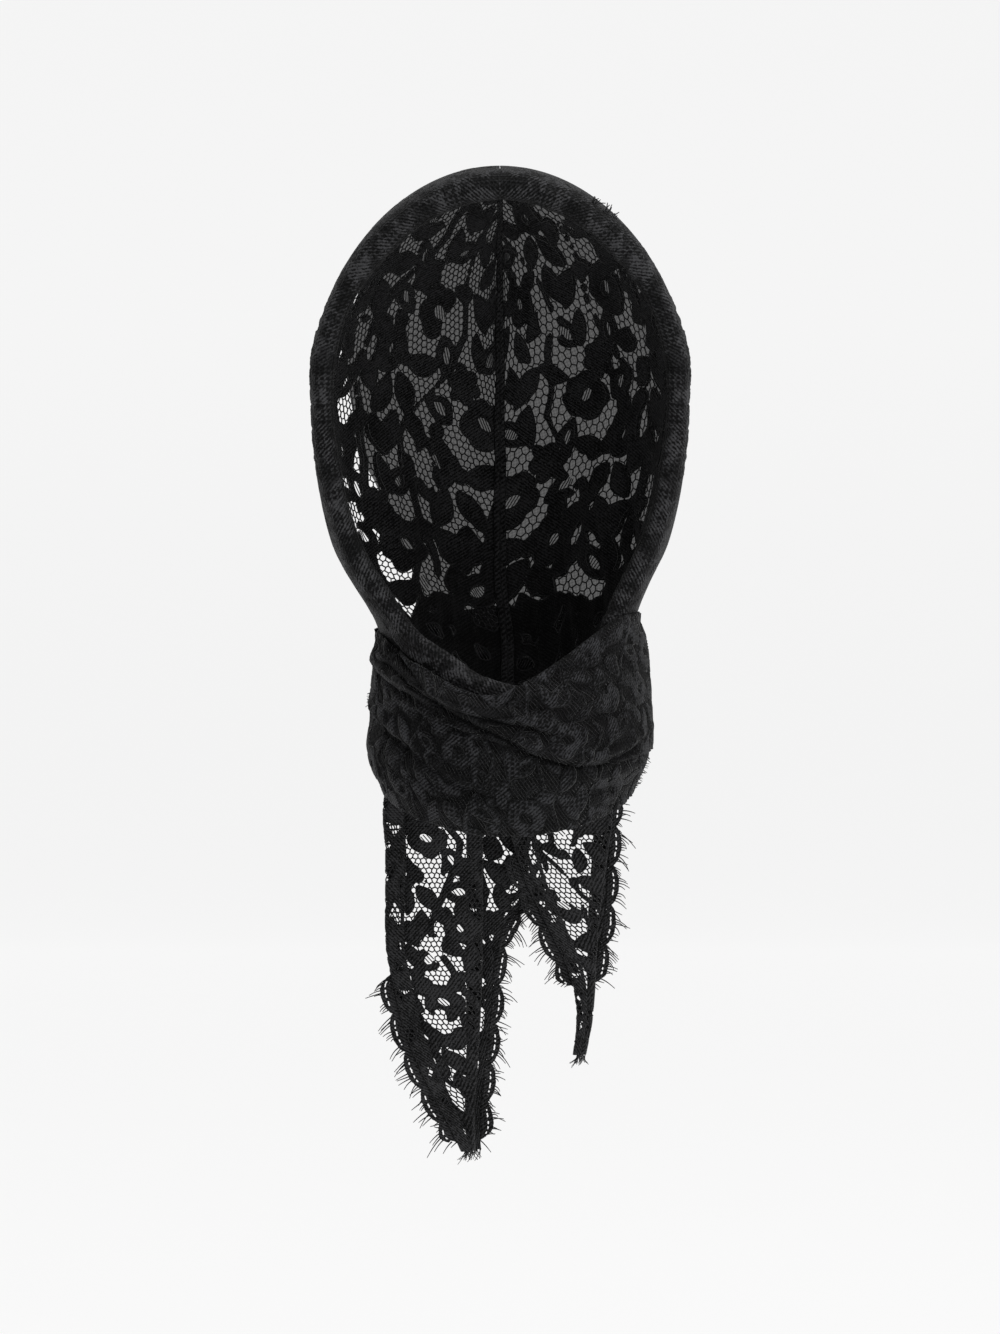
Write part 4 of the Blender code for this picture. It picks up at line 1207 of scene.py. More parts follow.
def add_band(work, path, outward, radii, lace):
    """The rolled lace along a path, its pattern in low relief, with painted shade on the roll's inner side.
    """
    tangent = unit(np.gradient(path, axis=0))
    tangent[0] = (math.copysign(1, tangent[0, 0]), 0, 0)
    outward = unit(outward - (outward * tangent).sum(1)[:, None] * tangent)
    forward = np.cross(tangent, outward)
    if forward[len(forward) // 3, 1] > 0:
        forward = -forward
    sections, flat, raised = [], [], []
    for point, out, ahead, radius, mark in zip(path, outward, forward, radii, run_length(path)):
        section, turn, away = band_section(radius)
        solid, _ = chart(mark * BAND_SCALE + 0 * turn, turn * BAND_SCALE + 20, lace.fullness)
        grain = np.sin(mark * 2.3 + turn) * np.sin(turn * 2.9 - mark * 0.8)
        lift = 0.5 * ease(solid, -0.5, 0.5) + 0.16 * grain + 0.3 * math.sin(mark / 9.0)
        section = section + away * lift[:, None]
        sections.append([point + f * ahead + n * out for f, n in section])
        flat.append(np.stack([mark + 0 * turn, turn], 1))
        # Painted shade on the roll's inner half and inner leg, towards the opening; the open ground between
        # its motifs is painted darker too, as the shade seen through it
        inside = ease(turn, BAND_LEG + 0.5 * math.pi * radius, BAND_LEG + 0.9 * math.pi * radius)
        raised.append((0.3 + 0.7 * ease(solid, -0.5, 0.5)) * (1 - 0.85 * inside))
    sections = np.array(sections)
    sections[0, :, 0] = 0
    points = sections.reshape(-1, 3)
    faces = outward_faces(points, sweep_faces(len(path), sections.shape[1]))
    work.add(points, faces, CLOTH, np.concatenate(flat), np.concatenate(raised))


def band_half(side, last, count):
    """One half of the rim laid on the head, and the way out from it."""
    rim = even(rim_path(), np.linspace(0, last, count))
    return lay(rim, 0.0, side), form_normal(rim) * (side, 1, 1)


def band_path(neck, side):
    """The roll's path and the way out from it; the left half runs on down the V of the winding."""
    if side > 0:
        return band_half(1, 0.99, 90)
    laid, out = band_half(-1, 0.985, 80)
    angle = np.linspace(BAND_TOP[0].angle, BAND_TOP[-1].angle, 40)
    tuck = BAND_TUCK * ease(angle, -46, -34)
    front = neck.at(angle, smooth(BAND_TOP, "angle", "height", angle), -tuck)
    path, out = np.concatenate([laid, front]), np.concatenate([out, neck.outward(angle)])
    along = run_length(path)
    coarse, fine = np.linspace(0, 1, 31), np.linspace(0, 1, 121)
    path, out = (
        read_path(fine, coarse, read_path(coarse, along / along[-1], line)) for line in (path, out)
    )
    return soften(path, 5, **ENDS_KEPT), unit(out)


TUFTS = (43.5, 47.5, 51.0)  # lash threads left in the seam of the right half, by x
TUFT_THREADS = 7
SEEDS = {"tufts": 8, "side lashes": 3, "fray": 5, "border": 11}


def make_band_piece(neck, side, name, knit, thread, lace):
    """One half of the rolled band, with its tufts on the right."""
    path, outward = band_path(neck, side)
    whole, count = np.arange(len(path)), len(path)
    fine = np.linspace(0, count - 1, 3 * count)
    radii = np.interp(fine, whole, band_radii(path))
    path = soften(read_path(fine, whole, path), 9, **ENDS_KEPT)
    outward = unit(read_path(fine, whole, outward))
    work = Work(knit, thread)
    add_band(work, path, outward, radii, lace)
    if side > 0:
        rng = np.random.default_rng(SEEDS["tufts"])
        marks = np.concatenate([rng.normal(x, 0.9, TUFT_THREADS) for x in TUFTS])
        near = [int(np.abs(path[:90, 0] - x).argmin()) for x in marks]
        roots = path[near] + outward[near] * (LACE + LAYER + BAND * 1.2)
        roots[:, 1] += rng.uniform(0, 5, len(marks))
        ways = outward[near] + rng.normal(0, 0.28, roots.shape)
        ways = ways * rng.uniform(2.4, 4.4, (len(marks), 1))
        add_lashes(work, roots, ways, rng.normal(0, 0.8, roots.shape), TUFT)
    return work.make(name)


def wrap_surface(neck, stretch, out):
    """A stretch's outer side as a grid, angle by angle and from its upper to its lower edge."""
    share = np.linspace(0, 1, stretch.rows)
    angle = np.repeat(stretch.angles[:, None], stretch.rows, 1)
    top, bottom = stretch.top(angle), stretch.bottom(angle)
    height = top + (bottom - top) * share[None]
    place = neck.at(angle, height, out(angle, height))
    middle = (len(stretch.angles) // 2, stretch.rows // 2)
    return Surface(place, grid_out(place, neck.outward(angle)), middle)


DeepFold = namedtuple("DeepFold", "depth line")
DEEP_FOLDS = [  # where the stretches cross, each from its upper left end
    DeepFold(2.6, rows_of(
        Top, (-78, -226), (-58, -232.5), (-40, -248), (-26, -260), (-12, -266.5), (10, -272), (26, -278),
    )),
    DeepFold(2.8, rows_of(
        Top, (-72, -238), (-56, -243), (-41, -251.5), (-20, -267), (-5, -275), (12, -285), (28, -289.5),
        (46, -287), (70, -276),
    )),
    DeepFold(1.4, rows_of(Top, (-96, -262), (-70, -270), (-44, -284), (-22, -298), (-2, -306))),
]
SOFT_FOLDS = rows_of(
    Crease, (-88, -238, -30, -262, -1.6, 1.6), (-80, -246, -20, -270, 1.0, 1.8),
    (-20, -258, 60, -250, -1.1, 2.0), (6, -262, 84, -246, 1.0, 2.4), (10, -270, 90, -258, -1.2, 2.0),
    (30, -280, 96, -270, 1.0, 2.2), (-96, -262, -40, -284, -1.2, 2.0), (-90, -280, -10, -300, 1.0, 2.6),
    (-70, -298, 10, -312, -1.0, 2.2), (20, -300, 96, -286, 1.0, 2.6), (30, -310, 90, -300, -0.9, 2.2),
    (112, -228, 180, -236, -1.3, 2.4), (110, -250, 250, -262, 1.2, 3.0),
    (120, -280, 240, -276, -1.3, 2.6), (184, -240, 252, -226, -1.3, 2.4),
)
DEEPEST = max(fold.depth for fold in DEEP_FOLDS)


def deep_folds(angle, height):
    """Grooves along the crossings with the cloth above them rolled over, and the painted shadow in and below
    each groove.
    """
    rise, painted_fold_shadow = 0 * height, 0 * height
    for depth, line in DEEP_FOLDS:
        first, last = line[0].angle, line[-1].angle
        inside = ease(angle, first, first + 14) * (1 - ease(angle, last - 16, last))
        off = height - smooth(line, "angle", "height", angle)
        groove = np.exp(-((off / 1.6) ** 2))
        rise = rise + inside * depth * (0.6 * np.exp(-(((off - 4.2) / 2.6) ** 2)) - groove)
        # Painted shadow, centred just below the groove's line and reaching further down
        painted_shadow = np.exp(-(((off + 1.0) / np.where(off > -1, 1.6, 3.4)) ** 2))
        painted_fold_shadow = np.maximum(painted_fold_shadow, inside * painted_shadow * depth / DEEPEST)
    return rise, painted_fold_shadow


Stretch = namedtuple("Stretch", "angles rows top bottom inner_out creases shift")
WRAP_CORD = 0.42
RELIEF, UNDER_RELIEF = 0.85, 0.2  # of the outer layer's motifs, and of the ones under it
SIDE_TUCK = 3.6  # how far the upper edge is drawn in at the sides


def make_wrap_piece(neck, name, stretch, cloth, thread, lace):
    """A stretch of the winding: doubled cloth, with the lace of both its layers in relief."""

    def outer_out(angle, height):
        rise = creases(stretch.creases, angle, height) + creases(SOFT_FOLDS, angle, height)
        rise = rise + deep_folds(angle, height)[0]
        if name != "neck_back_lace":
            rim = ease(neck.top(angle) - height, 15, 0)
            rise = rise - SIDE_TUCK * ease(np.abs(angle), 58, 84) * rim
        return stretch.inner_out(angle, height) + rise + BAND

    surface = wrap_surface(neck, stretch, outer_out)
    flat_s = surface.s * WRAP_SCALE + stretch.shift[0]
    flat_t = surface.t * WRAP_SCALE + stretch.shift[1]
    solid, eyes = chart(flat_s, flat_t, lace.fullness - 0.9)
    under, _ = chart(flat_s * 0.9 + 31, flat_t * 0.9 + 52, lace.fullness - 0.4)
    cover, below = ease(solid, -0.35, 0.35), ease(under, -0.35, 0.35)
    outer = surface.place + surface.out * (RELIEF * cover + UNDER_RELIEF * below)[..., None]
    inner = surface.place - surface.out * (BAND - 0.2)
    work = Work(cloth, thread)
    spread = np.repeat(stretch.angles[:, None], stretch.rows, 1)
    # Outer skin tone: the open ground painted darker, as the shade seen through it, lighter where the layer
    # below has a motif, and painted shadow in the deep folds
    painted_fold_shadow = deep_folds(spread, surface.place[..., 2])[1]
    closed_wall(work, surface, outer, inner, np.maximum(cover, 0.3 * below) * (1 - 0.8 * painted_fold_shadow))
    places, _, cuts = cut_out(solid)

    def lifted(extra):
        return lambda a, b: extra + UNDER_RELIEF * surface.read(below, a, b)

    levels = {"cord": lifted(0.25), "net": lifted(-0.1), "ladder": lifted(0.05)}
    rungs = np.maximum(eyes, -0.6 - solid)
    thin = lace._replace(cord=WRAP_CORD, net=lace.net * 0.7, ladder=lace.ladder * 0.75)
    add_threads(work, surface, solid, rungs, places, cuts, levels, FINE_NET, thin)
    if name == "neck_lower_lace":
        add_fuzz(work, surface)
    return work.make(name)


Fuzz = namedtuple("Fuzz", "low high side count long")
FUZZ = [Fuzz(-303, -287, 1, 26, 3.4), Fuzz(-262, -255, -1, 8, 2.4), Fuzz(-281, -276, 1, 5, 2.0)]


def add_fuzz(work, surface):
    """Short lashes of the lace edge that show past the sides of the winding."""
    rng = np.random.default_rng(SEEDS["side lashes"])
    for fuzz in FUZZ:
        height = rng.uniform(fuzz.low, fuzz.high, fuzz.count)
        away = np.abs(surface.place[..., 2][None] - height[:, None, None])
        reach = np.where(away < 1.0, surface.place[..., 0][None] * fuzz.side, -999.0)
        best = reach.reshape(fuzz.count, -1).argmax(1)
        roots = surface.place.reshape(-1, 3)[best]
        back, up = rng.uniform(-1.0, 0.2, fuzz.count), rng.uniform(-0.9, 0.5, fuzz.count)
        ways = unit(np.stack([np.full(fuzz.count, fuzz.side), back, up], 1))
        ways = ways * rng.uniform(0.5, 1.0, (fuzz.count, 1)) * fuzz.long
        add_lashes(work, roots, ways, rng.normal(0, 0.5, (fuzz.count, 3)), SIDE_LASH)


def wrap_pieces(neck):
    """What each stretch of the winding is made from."""
    front = np.linspace(-NECK_JOIN - 0.4, NECK_JOIN + 0.4, 250)
    back = np.linspace(NECK_JOIN, 360 - NECK_JOIN, 104)

    def lower_top(angle):
        return np.minimum(neck.lap(angle) + LAP_UNDER, neck.top(angle) - 3.0)

    def lower_out(angle, height):
        return NECK_CLEAR + neck.swell(angle, height)

    def back_out(angle, height):
        return lower_out(angle, height) + LAYER

    return {
        "neck_lower": Stretch(front, 46, lower_top, neck.bottom, lower_out, LOWER_CREASES, (0, 0)),
        "neck_upper": Stretch(front, 50, neck.top, neck.lap, neck.upper_out, UPPER_CREASES, (17, 40)),
        "neck_back": Stretch(back, 46, neck.top, neck.bottom, back_out, BACK_CREASES, (33, 11)),
    }


def make_knot_piece(name, cloth, thread, lace):
    """The half knot with its wrapped folds."""
    around, rings = 90, 46
    turn = np.linspace(0, 2 * math.pi, around + 1)[:, None]
    tilt = np.linspace(0.04, math.pi - 0.04, rings)[None]
    groove = 1 - 0.07 * np.cos(3 * turn + 2.2 * np.cos(tilt)) * np.sin(tilt)
    groove += 0.02 * np.sin(9 * turn + 5 * tilt) * np.sin(tilt)
    x = KNOT.half_x * np.sin(tilt) ** 0.8 * np.cos(turn) * groove
    y = KNOT.half_y * np.sin(tilt) ** 0.8 * np.sin(turn) * groove
    z = KNOT.half_z * np.cos(tilt) + 0 * turn
    centre = np.array([KNOT.x, KNOT.y, KNOT.z])
    place = np.stack([x, y, z], -1) + centre
    place[..., 2] = np.maximum(place[..., 2], KNOT_FLAT + SEAM)
    surface = Surface(place, grid_out(place, place - centre), (around // 2, rings // 2))
    solid, _ = chart(surface.s, surface.t + 15, lace.fullness)
    relief = 0.4 * ease(solid, -0.5, 0.5)
    relief[-1] = relief[0]
    points = (place + surface.out * relief[..., None])[:-1].reshape(-1, 3)
    number = np.arange(around * rings).reshape(around, rings)
    faces = quads(np.concatenate([number, number[:1]]))
    faces += [number[::-1, 0].tolist(), number[:, -1].tolist()]
    work = Work(cloth, thread)
    flat = np.stack([surface.s[:-1], surface.t[:-1]], -1).reshape(-1, 2)
    work.add(points, outward_faces(points, faces), CLOTH, flat)
    places, _, cuts = cut_out(solid)
    add_cord(work, surface, places, cuts, level_at(0.4), lace.cord, 4)
    return work.make(name)


END_GRID = (1.15, 1.3)  # between an end's points, across and down
FRAY_THREADS = 30


def end_surface(end, rows):
    """The zigzag section at every height, as one grid from the flap to the edge."""
    along = run_length(end.section((end.top + end.tip) / 2))
    corners = np.arange(len(along))
    across = np.linspace(0, along[-1], int(along[-1] / END_GRID[0]))
    marks = np.interp(across, along, corners)
    place = np.zeros((len(marks), rows, 3))
    for k, height in enumerate(np.linspace(end.top, end.tip, rows)):
        x, layer = read_path(marks, corners, end.section(height)).T
        place[:, k] = np.stack([x, end.depth(x, height) + layer, np.full_like(x, height)], -1)
    return Surface(place, unit(grid_normal(place) + 1e-9), (0, rows // 2)), marks


def make_end_piece(end, cut, name, cloth, thread, lace):
    """One hanging end: motifs, net, a window at each open cell of the part and a frayed tip."""
    rows = int((end.top - end.tip) / END_GRID[1])
    surface, marks = end_surface(end, rows)
    full = lace.fullness + cut.fuller + cut.fuller_low * ease(surface.t, 50, 105)
    flat_s, flat_t = surface.s * END_SCALE + cut.start[0], surface.t * END_SCALE + cut.start[1]
    solid, eyes = chart(flat_s, flat_t, full)
    for i, j in sorted(end_windows(cut.first_row, cut.last_row)):
        a = np.interp(i + 0.5, marks, np.arange(len(marks)))
        solid = open_window(solid, surface, a, (j + 0.5) / END_ROWS * (rows - 1), cut.wide, cut.tall)
    solid = hemmed(
        solid,
        (surface.t - surface.t[:, :1], 3.0),
        (surface.t[:, -1:] - surface.t, 6.0),
        (surface.s[-1:] - surface.s, 2.4),
        (surface.s, 1.6),
    )
    work = Work(cloth, thread)
    rise = motif_rise(surface, solid, END_RISE)
    places, cuts = add_clothwork(
        work, surface, solid, lambda a, b: 0.05 + rise(a, b), lambda a, b: -0.05 - rise(a, b),
    )
    levels = dict.fromkeys(("cord", "net", "ladder"), level_at(0.0))
    add_threads(work, surface, solid, eyes, places, cuts, levels, END_NET, lace)
    add_fray(work, surface)
    return work.make(name)


def add_fray(work, surface):
    """Loose threads at the tip of an end."""
    rng, count = np.random.default_rng(SEEDS["fray"]), FRAY_THREADS
    rows, cols = surface.s.shape
    a = rng.uniform(0, rows - 1, count)
    roots = surface.at(a, np.full(count, cols - 1.5), np.zeros(count))
    ways = np.stack([rng.normal(0, 0.28, count), rng.normal(0, 0.2, count), np.full(count, -1.0)], 1)
    curls = np.stack([rng.normal(0, 0.3, count), rng.normal(0, 0.15, count), np.full(count, 0.1)], 1)
    reach = rng.uniform(3.0, 8.0, (count, 1))
    add_lashes(work, roots, ways * reach, curls * reach, FRAY)


UNDER = 1.8  # how far the strip runs under the edge it is sewn to
STRIP_STEP, STRIP_COLUMNS = 0.68, 20
EYELET_PITCH, PINHOLE_PITCH = 3.2, 5.4


def rim_profile(marks, border):
    """How far the scalloped rim reaches at each mark, and how full its scallop is there."""
    length = marks[-1, 0]
    wave = np.abs(np.sin(math.pi * (marks / SCALLOP_PITCH + border.phase)))
    picot = 0.4 * np.abs(np.sin(math.pi * marks / 2.9 + np.sin(marks)))
    profile = BORDER_WIDTH + SCALLOP_DEPTH * wave**0.6 + picot
    from_end = np.minimum(marks, length - marks)
    return profile * ease(from_end, -1.5, 7) - UNDER * ease(from_end, 3, 0), wave


def border_pattern(s, t, profile, wave):
    """The strip's cloth: a corded rim tied over a bow of eyelets, and a row of pinholes."""
    bow = 0.85 - np.abs(t - 0.62 * profile) - 0.25 * np.abs(np.sin(s * 1.9 + t))
    bow = np.minimum(bow, 5.0 * (wave - 0.5))
    half = EYELET_PITCH / 2
    tie = 0.42 - np.abs((s + 0.6 * np.sin(s * 0.7) + half) % EYELET_PITCH - half)
    half = PINHOLE_PITCH / 2
    pinhole = 0.62 - np.hypot((s + half + t) % PINHOLE_PITCH - half, t - 0.18 * profile)
    solid = np.minimum(profile - t, np.minimum(np.maximum(-bow, tie), -pinhole))
    return np.minimum(solid, np.minimum(s, s[-1, 0] - s) + 0.2)


def make_border_piece(end, border, name, cloth, thread, lashes):
    """The scalloped strip with a corded rim, small eyelets and its eyelash threads."""
    line, away = edge_line(end, border)
    along = run_length(line)
    marks = np.linspace(0, along[-1], int(along[-1] / STRIP_STEP))
    widths = np.linspace(-UNDER, BORDER_WIDTH + SCALLOP_DEPTH + 1.2, STRIP_COLUMNS)
    base, out = read_path(marks, along, line), unit(read_path(marks, along, away))
    place = base[:, None] + out[:, None] * (SEAM + widths)[None, :, None]
    place[..., 1] += 0.75 * ease(-widths, -0.6, 0.4)
    surface = Surface(place, grid_out(place, np.array([0, -1.0, 0])), (0, 0))
    s, t = np.meshgrid(marks, widths, indexing="ij")
    profile, wave = rim_profile(s, border)
    work = Work(cloth, thread)
    solid = border_pattern(s, t, profile, wave)
    places, cuts = add_clothwork(work, surface, solid, level_at(0.25), level_at(-0.25))
    add_cord(work, surface, places, cuts, level_at(0.05), RIM_CORD, 4)
    rng = np.random.default_rng(SEEDS["border"] + len(border.name))
    add_eyelashes(work, marks, base, out, profile[:, 0], lashes, rng)
    return work.make(name)


def add_eyelashes(work, marks, base, out, profile, lashes, rng):
    """Clusters of lashes along a scalloped rim, each leaning its own way."""
    roots, ways, curls = [], [], []
    position, number = 1.0, 0
    while position < marks[-1] - 1:
        lean = np.array([0, 0, -0.15 + 0.34 * math.sin(number * 1.9)])
        for k in range(lashes.cluster):
            mark = position + k * lashes.step + rng.uniform(-0.2, 0.2)
            if mark > marks[-1]:
                break
            way = unit(read_path(mark, marks, out))
            reach = rng.uniform(lashes.short, lashes.long) * (0.8 + 0.25 * math.sin(number * 2.7))
            edge = np.interp(mark, marks, profile)
            roots.append(read_path(mark, marks, base) + way * (SEAM + edge - 0.5))
            ways.append((way + lean + rng.normal(0, 0.12, 3)) * reach)
            curls.append((rng.normal(0, 0.18, 3) + (0, 0, -0.34)) * reach)
        position += lashes.cluster * lashes.step + rng.uniform(0.3, 3.2)
        number += 1
    add_lashes(work, np.array(roots), np.array(ways), np.array(curls), LASH)


# ---------------------------------------------------------------- settings


def length(name, size, description, **limits):
    """A length setting, given here in millimetres."""
    return FloatProperty(
        name=name, description=description, default=size * METRES, subtype="DISTANCE", unit="LENGTH",
        **limits,
    )


def tone(name, default, description):
    """A colour setting."""
    return FloatVectorProperty(
        name=name, description=description, default=default, min=0, max=1, subtype="COLOR",
    )


class HEADSCARF_PG_lace(bpy.types.PropertyGroup):
    """The lace's pattern and the radii of its threads"""

    fullness: length("Fullness", 0.9, "How far every motif is grown", min=0)
    window: length("Window", 7.2, "Radius of a net window round an open cell of the part", min=0)
    cord: length("Cord", 0.45, "Radius of the cord round a motif", min=0)
    net: length("Net thread", 0.41, "Radius of the net's threads", min=0)
    ladder: length("Ladder thread", 0.34, "Radius of the parallel threads in an eye", min=0)


class HEADSCARF_PG_lashes(bpy.types.PropertyGroup):
    """The loose threads along the scalloped borders"""

    cluster: IntProperty(name="Cluster", description="Lashes that stand together", default=4, min=1)
    step: length("Step", 1.2, "Between two lashes of a cluster", min=0)
    short: length("Shortest", 3.6, "Reach of the shortest lash", min=0)
    long: length("Longest", 7.6, "Reach of the longest lash", min=0)


class HEADSCARF_PG_looks(bpy.types.PropertyGroup):
    """The colours of the threads where they are brightest, and how much the tulle covers"""

    lace: tone("Lace", (0.043, 0.043, 0.045), "Clothwork of the hood and the ends")
    winding: tone("Winding", (0.042, 0.0426, 0.046), "Doubled cloth round the neck")
    band: tone("Band", (0.060, 0.060, 0.0632), "Rolled band round the face")
    thread: tone("Thread", (0.026, 0.026, 0.028), "Cords, net and lashes")
    tulle: tone("Tulle", (0.03, 0.03, 0.031), "Fine net behind the lace")
    cover: FloatProperty(
        name="Tulle cover", description="How much each face of the tulle hides", default=0.685, min=0, max=1,
        subtype="FACTOR",
    )


class HEADSCARF_PG_stage(bpy.types.PropertyGroup):
    """The camera and the light"""

    distance: length("Camera distance", 2000, "From the camera to the origin's upright plane", min=0)
    height: length("Camera height", -243, "Height of the camera")
    wide: length("View width", 490, "What the frame takes in at the origin", min=0)
    sky: FloatProperty(name="Sky", description="Strength of the even light", default=0.21, min=0)
    glow: FloatProperty(name="Glow", description="Light of the backdrop itself", default=0.826, min=0)


def millimetres(group):
    """A settings group's lengths in millimetres and its counts as they are."""
    values = {}
    for name in group.__annotations__:
        value = getattr(group, name)
        values[name] = value if isinstance(value, int) else value / METRES
    return namedtuple("Settings", values)(**values)


# ---------------------------------------------------------------- materials


class Value:
    """A number in a material's node tree; sums and products on it add Math nodes."""

    def __init__(self, finish, socket):
        self.finish, self.socket = finish, socket

    def math(self, operation, other=None, clamp=False):
        inputs = [self] if other is None else [self, other]
        return self.finish.node("ShaderNodeMath", {"operation": operation, "use_clamp": clamp}, inputs)

    def __add__(self, other):
        return self.math("ADD", other)

    __radd__ = __add__

    def __mul__(self, other):
        return self.math("MULTIPLY", other)

    __rmul__ = __mul__

    def __sub__(self, other):
        return self.math("SUBTRACT", other)

    def __rsub__(self, other):
        return (self * -1.0) + other

    def __gt__(self, other):
        return self.math("GREATER_THAN", other)


class Finish:
    """A material's node tree and its shader."""

    def __init__(self, name, roughness, sheen=0.0):
        self.material = bpy.data.materials.new(name)
        self.material.use_nodes = True
        self.tree = self.material.node_tree
        self.shader = self.tree.nodes["Principled BSDF"]
        self.shader.inputs["Roughness"].default_value = roughness
        self.shader.inputs["Sheen Weight"].default_value = sheen
        self.shader.inputs["Specular IOR Level"].default_value = 0.12

    def node(self, kind, settings, inputs, output=0):
        """One node; inputs are values or links by place or by name."""
        made = self.tree.nodes.new(kind)
        for key, value in settings.items():
            setattr(made, key, value)
        named = inputs.items() if isinstance(inputs, dict) else enumerate(inputs)
        for key, value in named:
            if isinstance(value, Value):
                self.tree.links.new(value.socket, made.inputs[key])
            else:
                made.inputs[key].default_value = value
        return Value(self, made.outputs[output])

    def place(self, flat):
        return self.node("ShaderNodeTexCoord", {}, {}, "UV" if flat else "Object")

    def noise(self, scale, detail=2.0, flat=False, rough=0.5):
        inputs = {"Vector": self.place(flat), "Scale": scale, "Detail": detail, "Roughness": rough}
        return self.node("ShaderNodeTexNoise", {}, inputs, "Fac")

    def stripes(self, direction, scale, wander):
        """Wavering threads over the flat cloth."""
        settings = {"wave_type": "BANDS", "bands_direction": direction, "wave_profile": "SIN"}
        inputs = {"Vector": self.place(True), "Scale": scale, "Distortion": wander}
        inputs.update({"Detail": 1.5, "Detail Scale": 2.0})
        return self.node("ShaderNodeTexWave", settings, inputs, "Fac")

    def mix(self, share, low, high):
        inputs = {"Factor": share, "A": (*low, 1), "B": (*high, 1)}
        return self.node("ShaderNodeMix", {"data_type": "RGBA"}, inputs, "Result")

    def set(self, name, value):
        """Link a value to one of the shader's inputs."""
        self.tree.links.new(value.socket, self.shader.inputs[name])

    def bump(self, height, distance, strength=1.0):
        inputs = {"Height": height, "Distance": distance, "Strength": strength}
        self.set("Normal", self.node("ShaderNodeBump", {}, inputs, "Normal"))


WAVE_SCALE = 159  # over a pitch in millimetres, the scale of that many stripes


def darker(colour, share):
    return tuple(channel * share for channel in colour)


def weave(finish, pitch):
    """Threads one way and the other over the flat cloth, 0 to 1."""
    scale = WAVE_SCALE / pitch
    return finish.stripes("X", scale, 1.6) * 0.5 + finish.stripes("Y", scale, 1.6) * 0.5


# Pitch of the weave in millimetres, depth of the relief in metres, and how dark the small holes are painted,
# as the shade seen through them
ClothLook = namedtuple("ClothLook", "roughness sheen pitch depth holes")
CLOTH_LOOKS = {
    "clothwork": ClothLook(0.74, 0.05, 0.6, 0.0004, 0.0),
    "winding cloth": ClothLook(0.72, 0.03, 0.7, 0.0009, 0.9),
    "band lace": ClothLook(0.8, 0.05, 0.7, 0.0008, 0.85),
}


def cloth_finish(name, high):
    """Clothwork: dense threads, darker where the mesh's tone is low (the open ground and painted shade) and
    in the small holes between them, painted dark as the shade seen through them.
    """
    look = CLOTH_LOOKS[name]
    finish = Finish(name, look.roughness, look.sheen)
    pattern = weave(finish, look.pitch)
    grain = finish.noise(900.0, 3.0)
    patches = finish.noise(55.0, 2.0)
    raised = finish.node("ShaderNodeAttribute", {"attribute_name": "raised"}, {}, "Fac")
    hatch = finish.stripes("DIAGONAL", 310.0, 2.2)
    fine = (grain - 0.5) * 3.0 + (hatch - 0.5) * 0.9 + (patches - 0.5) * 1.4 + 0.46
    # The mesh's tone: the open ground painted darker as the shade seen through it, and painted shade where
    # the pieces darken it
    tone = fine * (raised * 0.95 + 0.05)
    # Small holes and openwork patches painted darker, as the shade seen through them
    if look.holes:
        rows = finish.stripes("X", 118.0, 1.2) * finish.stripes("Y", 140.0, 1.2)
        openwork = finish.noise(90.0, 2.0, True) > 0.5
        hole = (rows > 0.26) * openwork
        tone = tone * (1.0 - hole * look.holes) * (1.12 - openwork * 0.42)
        pattern = pattern * 0.6 + (1.0 - rows * openwork) * 0.4
    tone = tone.math("MAXIMUM", 0.0)
    finish.set("Base Color", finish.mix(tone, darker(high, 0.025), high))
    finish.set("Roughness", grain * 0.25 + (look.roughness - 0.12))
    finish.bump(pattern * 0.6 + grain * 0.4, look.depth)
    return finish.material


def thread_finish(name, high):
    """A twisted thread."""
    finish = Finish(name, 0.55, 0.15)
    twist = finish.noise(1500.0, 2.0)
    finish.set("Base Color", finish.mix(twist, darker(high, 0.16), high))
    finish.set("Roughness", twist * 0.3 + 0.42)
    finish.bump(twist, 0.0001)
    return finish.material


def tulle_finish(name, high, cover):
    """Fine net: each of its two faces covers part of what is behind it."""
    finish = Finish(name, 0.85)
    pattern = weave(finish, 0.9)
    patches = finish.noise(60.0, 2.0)
    finish.set("Base Color", finish.mix(pattern, darker(high, 0.27), high))
    finish.set("Alpha", pattern * 0.10 + (patches * 0.05 + (cover - 0.075)))
    return finish.material


def paper_finish(name, glow):
    """Evenly lit paper."""
    finish = Finish(name, 0.9)
    finish.shader.inputs["Emission Color"].default_value = (1, 1, 1, 1)
    finish.shader.inputs["Emission Strength"].default_value = glow
    finish.set("Base Color", finish.mix(finish.noise(6.0, 2.0), (0.15, 0.15, 0.15), (0.155, 0.155, 0.155)))
    return finish.material


WINDING_THREAD = 0.25  # the cords of the winding against those of the hood, in tone


def finishes(scene):
    """Every material of the scarf, made once."""
    tones = scene.headscarf_looks
    wanted = {
        "clothwork": (cloth_finish, tones.lace),
        "winding cloth": (cloth_finish, tones.winding),
        "band lace": (cloth_finish, tones.band),
        "lace thread": (thread_finish, tones.thread),
        "winding thread": (thread_finish, darker(tones.thread, WINDING_THREAD)),
        "tulle net": (tulle_finish, tones.tulle, tones.cover),
    }
    return {
        name: bpy.data.materials.get(name) or make(name, tuple(high), *rest)
        for name, (make, high, *rest) in wanted.items()
    }


# ---------------------------------------------------------------- operators


def dress(piece, node):
    """Attach a finished piece to the root and hide the part node it stands for."""
    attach(piece, "root")
    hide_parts(node)


